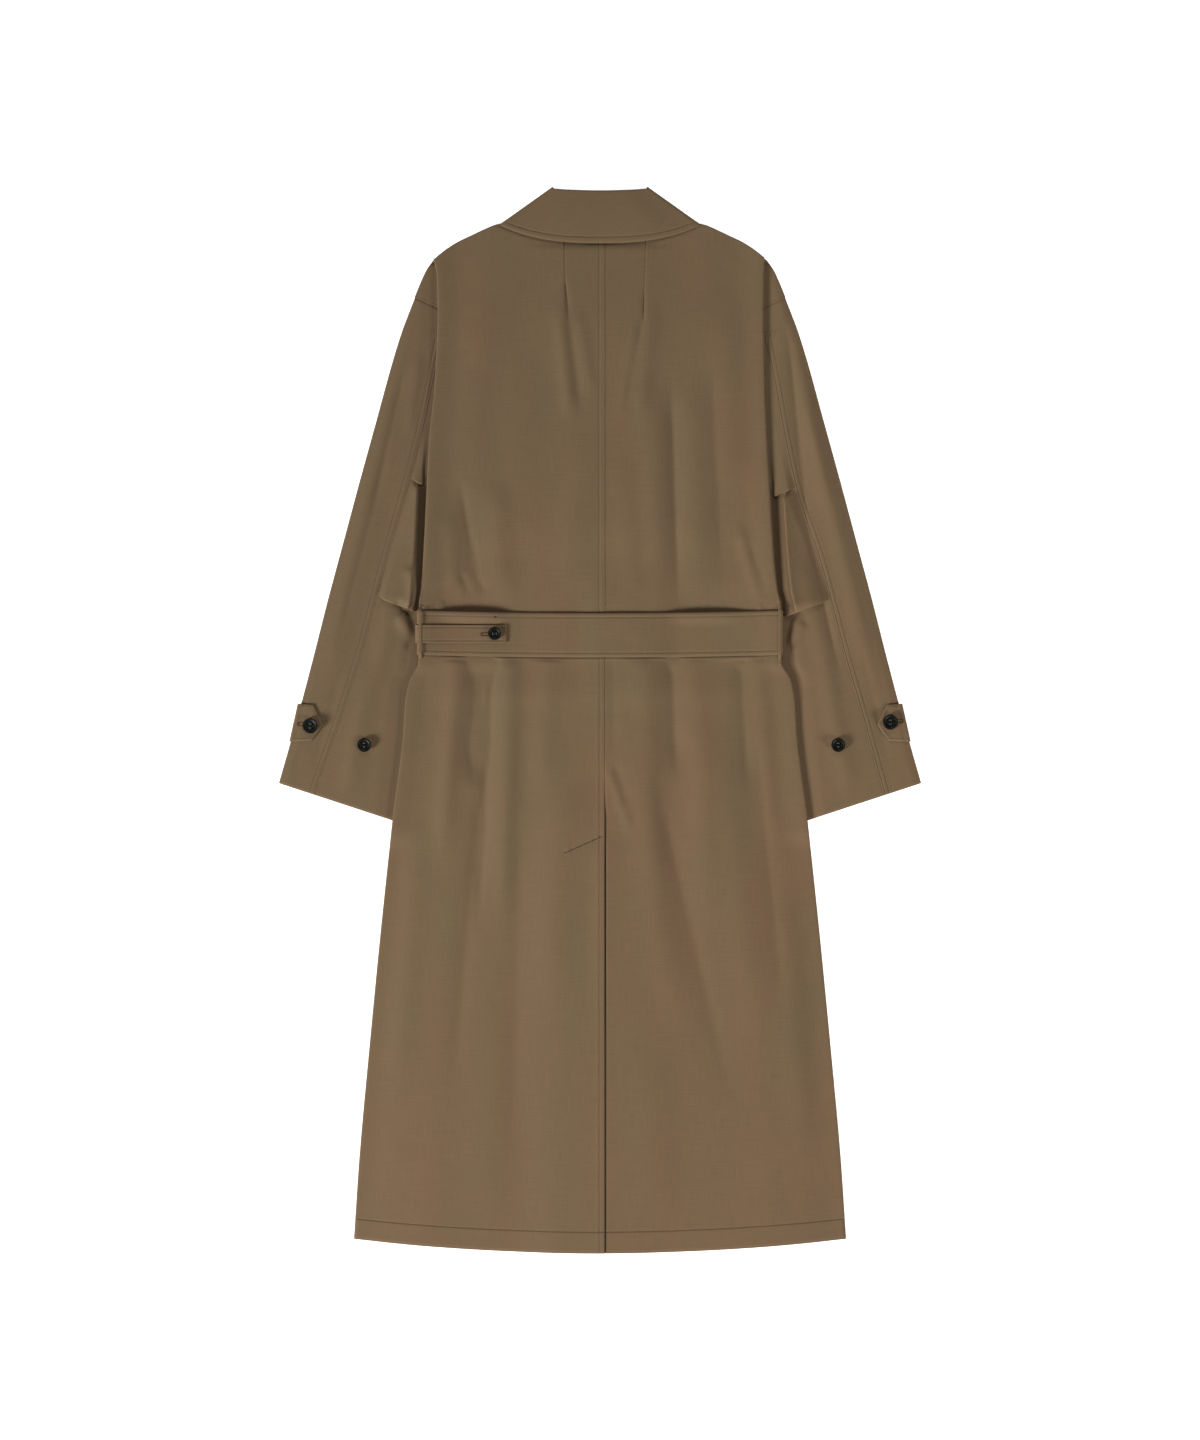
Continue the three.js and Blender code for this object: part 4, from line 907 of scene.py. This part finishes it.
def strip_grid(path, middle, rows):
    """A strip along a section, one row of points for each distance from its middle."""
    x, z = path[None, :, 0], path[None, :, 1]
    return np.stack([x + 0 * rows[:, None], middle(x) + rows[:, None], z + 0 * rows[:, None]], axis=-1)


left = np.vstack([belt_turn(LEFT, PITCH, TURN_STEPS), belt_front_run(LEFT)])[::-1]
right = np.vstack([belt_turn(RIGHT, PITCH, TURN_STEPS), belt_front_run(RIGHT)])
belt_path = np.vstack([left, belt_back_run(PITCH), right])
belt_rows = spaced(BELT["width"] / 2, -BELT["width"] / 2, 2.6, [BELT["row"], -BELT["row"]])
belt = strip_grid(belt_path, belt_middle, belt_rows)
on_back = slice(len(left), len(left) + BACK_SECTIONS)


def belt_wave(x):
    """Slow, uneven rise and fall of the belt along the back."""
    return 0.3 * np.sin(x / 17) * np.sin(x / 41 + 1)


edge_swell = 0.12 * ease((abs(belt_rows) - BELT["row"]) / 1.5)
sewn = edge_swell + stitch_dent(abs(belt_rows) - BELT["row"])
bow = BELT_BOW * at_bows(belt[:, on_back, 0]) * ease((belt_rows[:, None] - 9) / 13)
belt[:, on_back, 2] += sewn[:, None] + belt_wave(belt[:, on_back, 0]) + bow
piece = cloth_piece("belt_cloth", [belt], cotton)
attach(piece, "root")
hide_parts("belt")

strap_run = belt_back_run(2 * PITCH)
strap_run = strap_run[strap_run[:, 0] < STRAP["end"]]
strap_end = [STRAP["end"], back_height(STRAP["end"], BELT["middle"], LEFT) + 2 * PITCH]
strap_turn = belt_turn(LEFT, 2 * PITCH, TURN_STEPS)[:STRAP_TURN]
strap_path = np.vstack([strap_turn[::-1], strap_run, strap_end])
strap_rows = spaced(STRAP["width"] / 2, -STRAP["width"] / 2, 1.6, [STRAP["row"], -STRAP["row"]])
strap = strip_grid(strap_path, lambda x: STRAP["middle"] + 0 * x, strap_rows)
strap[..., 2] += stitch_dent(abs(strap_rows) - STRAP["row"])[:, None] + belt_wave(strap[..., 0])
piece = cloth_piece("belt_strap_cloth", [strap], cotton)
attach(piece, "root")
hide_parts("belt_strap")


def loop_grid(side):
    """A narrow band from the back above the belt, over it, and to the back below it."""
    x = SIGN[side] * LOOP["x"]
    layers = 2 if side == LEFT else 1
    rise = WALL / 2 + 0.1 + LOOP["wall"] / 2
    over = back_height(x, BELT["middle"], side) + layers * PITCH + rise
    top, low = belt_middle(x) + BELT["width"] / 2, belt_middle(x) - BELT["width"] / 2
    y = np.concatenate([
        np.linspace(LOOP["top"], top + 3, 6),
        np.linspace(top + 1, low - 1, 22),
        np.linspace(low - 2, LOOP["bottom"][side], 6),
    ])
    seat = back_height(x, y, side) + rise
    z = mix(seat, over, ease((y - low + 5) / 5) * ease((top + 5 - y) / 5))
    across = np.linspace(1, -1, 5)[None] * LOOP["width"] / 2
    y, z = y[:, None], z[:, None]
    return np.stack([x - across + 0 * y, y + 0 * across, z + 0 * across], axis=-1)


for side in (LEFT, RIGHT):
    piece = cloth_piece(f"belt_loop_{side}_cloth", [loop_grid(side)], cotton, LOOP["wall"])
    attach(piece, "root")
    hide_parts(f"belt_loop_{side}")

# Cuff tabs: a pointed tab of doubled cloth lies over each cuff. It is sewn in at the sleeve's outer
# edge, with a row of stitches inside its own edge, and a button holds its tip.
TAB = dict(y=[17.6, 6, -6, -16, -25], tip=[330, 324.4, 318.8, 325, 332], out=[3.4, 2.8, 2.2, 1.6, 1.0])


def cuff_tab_grid(side, y):
    """From the slanted edges of the tip out to the sleeve's edge, and down it to the surface."""
    tip = np.interp(-y, -np.array(TAB["y"]), TAB["tip"])[:, None]
    edge = (along(SLEEVE_OUT, "x", y) + np.interp(-y, -np.array(TAB["y"]), TAB["out"]))[:, None]
    y = y[:, None]
    x = mix(tip, edge - 2, np.linspace(0, 1, 16)[None])
    lean = y + 0.05 * (edge - x) * (-6 - y) / 24
    level = sleeve_height(np.minimum(x, edge - 6), y, side) + PITCH
    x = np.concatenate([x, edge - 0.6, edge, edge, edge], axis=1)
    lean = np.concatenate([lean, y, y, y, y], axis=1)
    last = level[:, -1:]
    z = np.concatenate([level, last - 0.5, last - 1.6, last / 2, 0 * last + 0.8], axis=1)
    return np.stack([SIGN[side] * x, lean, z], axis=-1)


for side in (LEFT, RIGHT):
    grid = cuff_tab_grid(side, np.linspace(TAB["y"][0], TAB["y"][-1], 24))
    piece = cloth_piece(f"cuff_tab_{side}_cloth", [grid], cotton)
    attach(piece, "root")
    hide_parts(f"cuff_tab_{side}")

# Buttons: pressed resin, nearly black, each with a raised rim, a shallow well and four holes, sewn
# on with two bars of thread. One is on the belt's strap, one on each tab and one above each cuff.
BUTTON_HEIGHT = 3.0
BUTTON_FOOT = 1.4
BUTTON_WELL = 1.0  # depth of the well in the face
BUTTON_HOLE = 0.13  # from the middle to a hole, both ways, as a share of the size
SEAT = 0.6 + SEAM
# Name, middle, size, lean and what each one is sewn to
BUTTONS = [
    ("button_belt", -121, 98.6, 15, 0, "strap"),
    ("button_tab_left", -332.5, -7.4, 17.5, -0.16, "tab"),
    ("button_tab_right", 333, -3, 17.5, 0.16, "tab"),
    ("button_cuff_left", -270.6, -29.3, 16, -0.1, "sleeve"),
    ("button_cuff_right", 273.2, -29.3, 16, 0.1, "sleeve"),
]


def pressed_resin():
    """Nearly black resin: a satin gloss broken by faint brown clouding, about 6 mm across."""
    made, tree, shader = new_material("pressed resin", {"Roughness": 0.45, "Specular IOR Level": 0.13})
    place = add_node(tree, "ShaderNodeTexCoord").outputs["Object"]
    cloud = add_node(tree, "ShaderNodeTexNoise", {"Vector": place, "Scale": 160, "Detail": 3})
    shade = add_node(tree, "ShaderNodeMix", {
        "Factor": cloud.outputs["Fac"], 6: linear("#080907"), 7: linear("#12120e"),
    }, data_type="RGBA")
    tree.links.new(shade.outputs[2], shader.inputs["Base Color"])
    return made


def sewing_thread(name, colour):
    """Twisted thread: matt, in the given colour; sewing thread is drawn a little darker than the cloth,
    partly as painted shade of stitches sunk in it, so that each stitch can be told.
    """
    return new_material(name, {
        "Roughness": 0.75, "Specular IOR Level": 0.25, "Sheen Weight": 0.1,
        "Base Color": linear(colour),
    })[0]


def button_surface(size):
    """Closed round surface: the profile runs from the middle of the back round the rim to the
    middle of the face, and the face sinks in at four holes."""
    r, h = size / 2, BUTTON_HEIGHT
    rim = [
        (r - BUTTON_FOOT, 0), (r - 0.5, 0.35), (r, 1.0), (r, h - 0.9), (r - 0.25, h - 0.3), (r - 0.8, h),
        (r - 1.5, h - 0.1), (r - 2.1, h - 0.6), (r - 2.8, h - 0.95),
    ]
    flat = np.arange(r - 3.1, 0.2, -0.25)
    face = np.column_stack([flat, 0 * flat + h - BUTTON_WELL])
    profile = np.vstack([(r / 2, 0), rim, face])
    angle = np.linspace(0, 2 * np.pi, 65)[:-1]
    x = profile[:, 0:1] * np.cos(angle)
    y = profile[:, 0:1] * np.sin(angle)
    z = profile[:, 1:2] + 0 * x
    hole = BUTTON_HOLE * size
    off = np.hypot(abs(x) - hole, abs(y) - hole)
    z = np.where(profile[:, 1:2] > h / 2, z - 1.9 * ease((1.4 - off) / 0.3), z)
    rings, around = x.shape
    points = np.vstack([np.stack([x, y, z], axis=-1).reshape(-1, 3), [[0, 0, 0], [0, 0, h - BUTTON_WELL]]])
    index = np.arange(rings * around).reshape(rings, around)
    after = np.roll(index, -1, axis=1)
    quads = np.stack([index[:-1], after[:-1], after[1:], index[1:]], axis=-1).reshape(-1, 4)
    pole = 0 * index[0] + rings * around
    below = np.stack([pole, after[0], index[0]], axis=-1)
    above = np.stack([pole + 1, index[-1], after[-1]], axis=-1)
    return points, [*quads.tolist(), *below.tolist(), *above.tolist()]


def leant(points, lean):
    """Points turned about the Y axis, as a button leans with the cloth below it."""
    x, z = points[:, 0], points[:, 2]
    c, s = math.cos(lean), math.sin(lean)
    return np.stack([x * c + z * s, points[:, 1], -x * s + z * c], axis=-1)


def grains(starts, ends, thick, lift=0.0):
    """Stitches as rounded grains of thread, one from each start to its end, arched so that both
    ends dip into the cloth."""
    u = np.array([-0.42, -0.22, 0.22, 0.42])
    wide = np.array([0.62, 1, 1, 0.62])
    angle = np.linspace(0, 2 * np.pi, 7)[:-1]
    ring = np.stack([
        u[:, None] + 0 * angle, wide[:, None] * np.cos(angle), wide[:, None] * np.sin(angle),
    ], axis=-1)
    shape = np.vstack([ring.reshape(-1, 3), [[-0.5, 0, 0], [0.5, 0, 0]]])
    index = np.arange(ring.shape[0] * ring.shape[1]).reshape(ring.shape[:2])
    after = np.roll(index, -1, axis=1)
    tris = np.concatenate([
        np.stack([index[:-1], index[1:], after[1:]], axis=-1).reshape(-1, 3),
        np.stack([index[:-1], after[1:], after[:-1]], axis=-1).reshape(-1, 3),
        np.stack([0 * index[0] + index.size, index[0], after[0]], axis=-1),
        np.stack([0 * index[0] + index.size + 1, after[-1], index[-1]], axis=-1),
    ])
    run = ends - starts
    length = np.linalg.norm(run, axis=1, keepdims=True)
    run = run / length
    side = np.cross(run, [0.01, 0, -1.0])
    side /= np.linalg.norm(side, axis=1, keepdims=True)
    up = np.cross(side, run)
    up *= np.where(up[:, 2:] < 0, -1, 1)
    side = np.cross(up, run)
    middle = (starts + ends) / 2 + up * lift
    arch = thick * (0.25 - 2.2 * shape[:, 0] ** 2)
    points = (middle[:, None] + run[:, None] * (shape[:, 0] * length)[..., None]
              + side[:, None] * (shape[:, 1] * thick / 2)[None, :, None]
              + up[:, None] * (shape[:, 2] * thick * 0.4 + arch)[None, :, None])
    count = len(starts)
    faces = (tris[None] + len(shape) * np.arange(count)[:, None, None]).reshape(-1, 3)
    return points.reshape(-1, 3), faces[:, ::-1]


def sewn_row(path, length=2.5, gap=0.7):
    """Starts and ends of equal stitches along a path, a gap apart."""
    steps = np.linalg.norm(np.diff(path, axis=0), axis=1)
    reach = np.concatenate([[0], np.cumsum(steps)])
    at = np.arange(0.3, reach[-1] - length, length + gap)
    start = np.stack([np.interp(at, reach, path[:, k]) for k in range(3)], axis=-1)
    end = np.stack([np.interp(at + length, reach, path[:, k]) for k in range(3)], axis=-1)
    return start, end


def sewing(name, rows, thread, thick=0.6, lift=0.0):
    """All stitches of several rows as one object that rides with the coat."""
    starts = np.concatenate([row[0] for row in rows])
    ends = np.concatenate([row[1] for row in rows])
    points, faces = grains(starts, ends, thick, lift)
    made = to_mesh(name, points, faces.tolist(), thread)
    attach(made, "root")
    return made


resin = pressed_resin()
button_thread = sewing_thread("button thread", "#474a40")
bars = []
for name, x, y, size, lean, on in BUTTONS:
    side = LEFT if x < 0 else RIGHT
    if on == "strap":
        seat = back_height(x, BELT["middle"], side) + belt_wave(x) + 2 * PITCH + SEAT
    else:
        seat = sleeve_height(abs(x), y, side) + (PITCH if on == "tab" else SEAM) + SEAT
    place = np.array([x, y, seat + (size / 2 - BUTTON_FOOT) * math.sin(abs(lean))])
    points, faces = button_surface(size)
    piece = to_mesh(f"{name}_resin", leant(points, lean) + place, faces, resin)
    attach(piece, "root")
    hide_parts(name)
    hole, face = BUTTON_HOLE * size, BUTTON_HEIGHT - BUTTON_WELL
    starts = np.array([[-hole, -hole, face], [-hole, hole, face]])
    ends = starts + [2 * hole, 0, 0]
    if on == "strap":
        starts, ends = starts[:, [1, 0, 2]], ends[:, [1, 0, 2]]
    bars.append((leant(starts, lean) + place, leant(ends, lean) + place))
piece = sewing("button_bars", bars, button_thread, 0.9)

# Sewing: rows of lockstitch in thread to match the cloth. Each follows a seam or an edge on the
# cloth's outer face, where the cloth is already drawn in.
# The thread is drawn darker than the cloth it matches: partly its own colour, partly painted shade of the
# stitches sunk in the cloth
thread = sewing_thread("matching thread", "#4f3f2c")


def outer_face(grid):
    """The grid moved out to the face of its wall that is up where the grid is highest."""
    normal = np.cross(np.gradient(grid, axis=1), np.gradient(grid, axis=0))
    normal /= np.maximum(np.linalg.norm(normal, axis=2, keepdims=True), 1e-9)
    middle = len(grid) // 2
    up = np.sign(normal[middle, np.argmax(grid[middle, :, 2]), 2])
    return grid + up * normal * WALL / 2


def nearest(values, wanted):
    """Index of the value nearest to the wanted one."""
    return int(np.argmin(abs(np.asarray(values) - wanted)))


hem_rows, centre_rows = [], []
for side in (LEFT, RIGHT):
    face = outer_face(backs[side])
    body = slice(0, back_columns[side])
    hem_rows.append(sewn_row(face[nearest(BACK_ROWS, HEM_ROW), body]))
    level = backs[side][20 if side == RIGHT else -40]
    column = nearest(level[:, 0], CENTRE_ROWS[side])
    part = BACK_ROWS > 128 if side == RIGHT else BACK_ROWS < 70
    centre_rows.append(sewn_row(face[part, column]))
sewing("hem_row", hem_rows, thread)
sewing("centre_back_rows", centre_rows, thread)

t = np.linspace(0, 1, 20)
x, y = mix(VENT_ROW[0], VENT_ROW[2], t), mix(VENT_ROW[1], VENT_ROW[3], t)
vent_row = np.stack([x, y, back_middle(x, y, LEFT) + WALL / 2], axis=-1)
# This row reads as a dark line on the cloth, the shade of its sunk stitches; its thread is drawn darker,
# partly as painted shade, and stands higher
dark_thread = sewing_thread("dark thread", "#2c2118")
sewing("vent_row", [sewn_row(vent_row, 2.6, 0.4)], dark_thread, 0.8, 0.7)

sleeve_rows = []
for side in (LEFT, RIGHT):
    face = outer_face(top_sleeves[side])
    under = top_sleeves[side][:, 0, 1] < 436
    for line in SEAM_ROWS:
        sleeve_rows.append(sewn_row(face[under, nearest(FROM_SEAM, line - SEAM / 2)]))
sewing("sleeve_seam_rows", sleeve_rows, thread, 0.7)

armhole = nearest(CAP_ROWS, SLEEVE_TOP + ARMHOLE_ROW)
armhole_rows = [sewn_row(outer_face(caps[side])[armhole]) for side in (LEFT, RIGHT)]
sewing("armhole_rows", armhole_rows, thread)

face = outer_face(collar_fall[::-1])
beside = LEAF_SECTIONS + TURN_SECTIONS
row = face[nearest(collar_rows, COLLAR_ROW), beside:-beside]
sewing("collar_row", [sewn_row(row)], thread)

face = outer_face(belt)
belt_rows_sewn = [sewn_row(face[nearest(belt_rows, at), on_back]) for at in (BELT["row"], -BELT["row"])]
sewing("belt_rows", belt_rows_sewn, thread)

face = outer_face(strap)
strap_rows_sewn = [sewn_row(face[nearest(strap_rows, at), 6:]) for at in (STRAP["row"], -STRAP["row"])]
strap_end = face[:, nearest(strap_path[:, 0], STRAP["end"] - 2.4)]
strap_rows_sewn.append(sewn_row(strap_end[2:-2]))
sewing("strap_rows", strap_rows_sewn, thread)

TAB_ROW = 2.8  # the tabs' row of stitches, inside their edge
TAB_ROW_ENDS = (346, 353)  # above and below, at the sleeve's outer edge
tab_rows = []
for side in (LEFT, RIGHT):
    y = np.array(TAB["y"])[[0, 0, 2, 4, 4]]
    half = np.array([TAB_ROW_ENDS[0], *TAB["tip"][::2], TAB_ROW_ENDS[1]])
    run = np.diff(np.stack([half, y], axis=-1), axis=0)
    run /= np.linalg.norm(run, axis=1, keepdims=True)
    inward = np.stack([-run[:, 1], run[:, 0]], axis=-1)
    inward = np.vstack([inward[:1], inward, inward[-1:]])
    turn = inward[:-1] + inward[1:]
    turn /= (1 + np.sum(inward[:-1] * inward[1:], axis=1))[:, None]
    corner = np.stack([half, y], axis=-1) + TAB_ROW * turn
    reach = np.arange(len(corner))
    fine = np.linspace(0, len(corner) - 1, 81)
    half, y = np.interp(fine, reach, corner[:, 0]), np.interp(fine, reach, corner[:, 1])
    z = sleeve_height(half, y, side) + PITCH + WALL / 2
    tab_rows.append(sewn_row(np.stack([SIGN[side] * half, y, z], axis=-1)))
sewing("tab_rows", tab_rows, thread)

# Buttonholes: two close rows of upright stitches either side of the slit and a bar at its outer
# end, in a rust thread. A bar tack holds the strap to the belt.
rust_thread = sewing_thread("buttonhole thread", "#50351f")
# From x to x, at y, what it is cut in and the side
HOLES = [
    (-136.4, -128, 97.6, "strap", LEFT),
    (-347.3, -340, -5.2, "tab", LEFT),
    (340, 348.3, -1.7, "tab", RIGHT),
]
SLIT_EDGE, SLIT_REACH = 0.9, 2.4  # the upright stitches run from the slit's edge out to here


def buttonhole(x0, x1, y, on, side):
    """Starts and ends of the stitches round one slit, on the strap or on a tab."""
    x = np.arange(x0, x1, 0.75)
    outer = x0 if abs(x0) > abs(x1) or on == "strap" else x1
    bars = outer + np.array([-0.4, 0.4, 1.2]) * (1 if outer == x0 else -1)
    across = np.concatenate([x, x, bars])
    low = np.repeat([SLIT_EDGE, -SLIT_REACH, -SLIT_REACH], [len(x), len(x), len(bars)])
    high = np.repeat([SLIT_REACH, -SLIT_EDGE, SLIT_REACH], [len(x), len(x), len(bars)])
    placed = []
    for off in (low, high):
        flat = np.column_stack([across, y + off])
        if on == "strap":
            z = back_height(flat[:, 0], BELT["middle"], side) + belt_wave(flat[:, 0]) + 2 * PITCH
        else:
            z = sleeve_height(abs(flat[:, 0]), flat[:, 1], side) + PITCH
        placed.append(np.column_stack([flat, z + WALL / 2]))
    return placed


sewing("buttonholes", [buttonhole(*hole) for hole in HOLES], rust_thread, 0.8, 0.1)
tack = np.array([[-121.2, 116.2], [-120.4, 116.8], [-119.6, 116.4]])
face = outer_face(belt)[nearest(belt_rows, 18), on_back]
z = np.interp(tack[:, 0], face[:, 0], face[:, 2])
starts = np.column_stack([tack, z])
sewing("bar_tack", [(starts, starts + [0, 2.2, 0])], dark_thread, 0.9, 0.2)
bar = np.array([[STRAP["end"] - 0.5, 89.6], [STRAP["end"] - 0.5, 107.0]])
z = back_height(bar[:, 0], BELT["middle"], LEFT) + belt_wave(bar[:, 0]) + 2 * PITCH + WALL / 2
sewing("strap_end_bar", [sewn_row(np.column_stack([bar, z]), 1.6, 0.1)],
       sewing_thread("bar thread", "#66472c"), 1.3, 0.1)

# Studio: the coat lies on a light table of pale paper, in faint white light from all round. Of two
# soft lamps the one at the lower left is stronger, so that one side of each fold is shaded. A faint
# one stands at the collar. The camera looks straight down, as for a flat lay.
FLOOR_HALF = 20.0  # metres, past the edges of low views
half = FLOOR_HALF * 1000
corners = np.array([[-half, -half, -0.05], [half, -half, -0.05], [half, half, -0.05], [-half, half, -0.05]])
paper = new_material("pale paper on a light table", {
    "Base Color": (0.9, 0.9, 0.9, 1), "Roughness": 0.9,
    "Emission Color": (1, 1, 1, 1), "Emission Strength": 0.8,
})[0]
floor = to_mesh("studio_floor", corners, [[0, 1, 2, 3]], paper)

world = bpy.data.worlds.new("soft light")
world.use_nodes = True
background = world.node_tree.nodes["Background"]
background.inputs["Color"].default_value = (1, 1, 1, 1)
background.inputs["Strength"].default_value = 0.14
bpy.context.scene.world = world


def soft_lamp(name, place, size, power):
    """Square lamp turned to face the middle of the coat."""
    lamp = bpy.data.lights.new(name, "AREA")
    lamp.size = size
    lamp.energy = power
    made = bpy.data.objects.new(name, lamp)
    made.location = place
    made.rotation_euler = (-mathutils.Vector(place)).to_track_quat("-Z", "Y").to_euler()
    bpy.context.scene.collection.objects.link(made)


soft_lamp("lamp at the lower left", (-6.4, -3.5, 3.3), 1.9, 1060)
soft_lamp("lamp at the lower right", (6.0, -3.8, 3.3), 1.9, 440)
soft_lamp("lamp at the collar", (0.4, 4.2, 2.8), 1.6, 60)

FRAME_HEIGHT = 1.656  # metres of the surface that the picture's height takes in
LENS, SENSOR = 100, 36
camera = bpy.data.cameras.new("camera above")
camera.lens = LENS
camera.sensor_width = SENSOR
camera.clip_end = 60
above = bpy.data.objects.new("camera above", camera)
above.location = (0, -0.0006, FRAME_HEIGHT * LENS / SENSOR)
bpy.context.scene.collection.objects.link(above)
bpy.context.scene.camera = above
bpy.context.scene.view_settings.view_transform = "Standard"
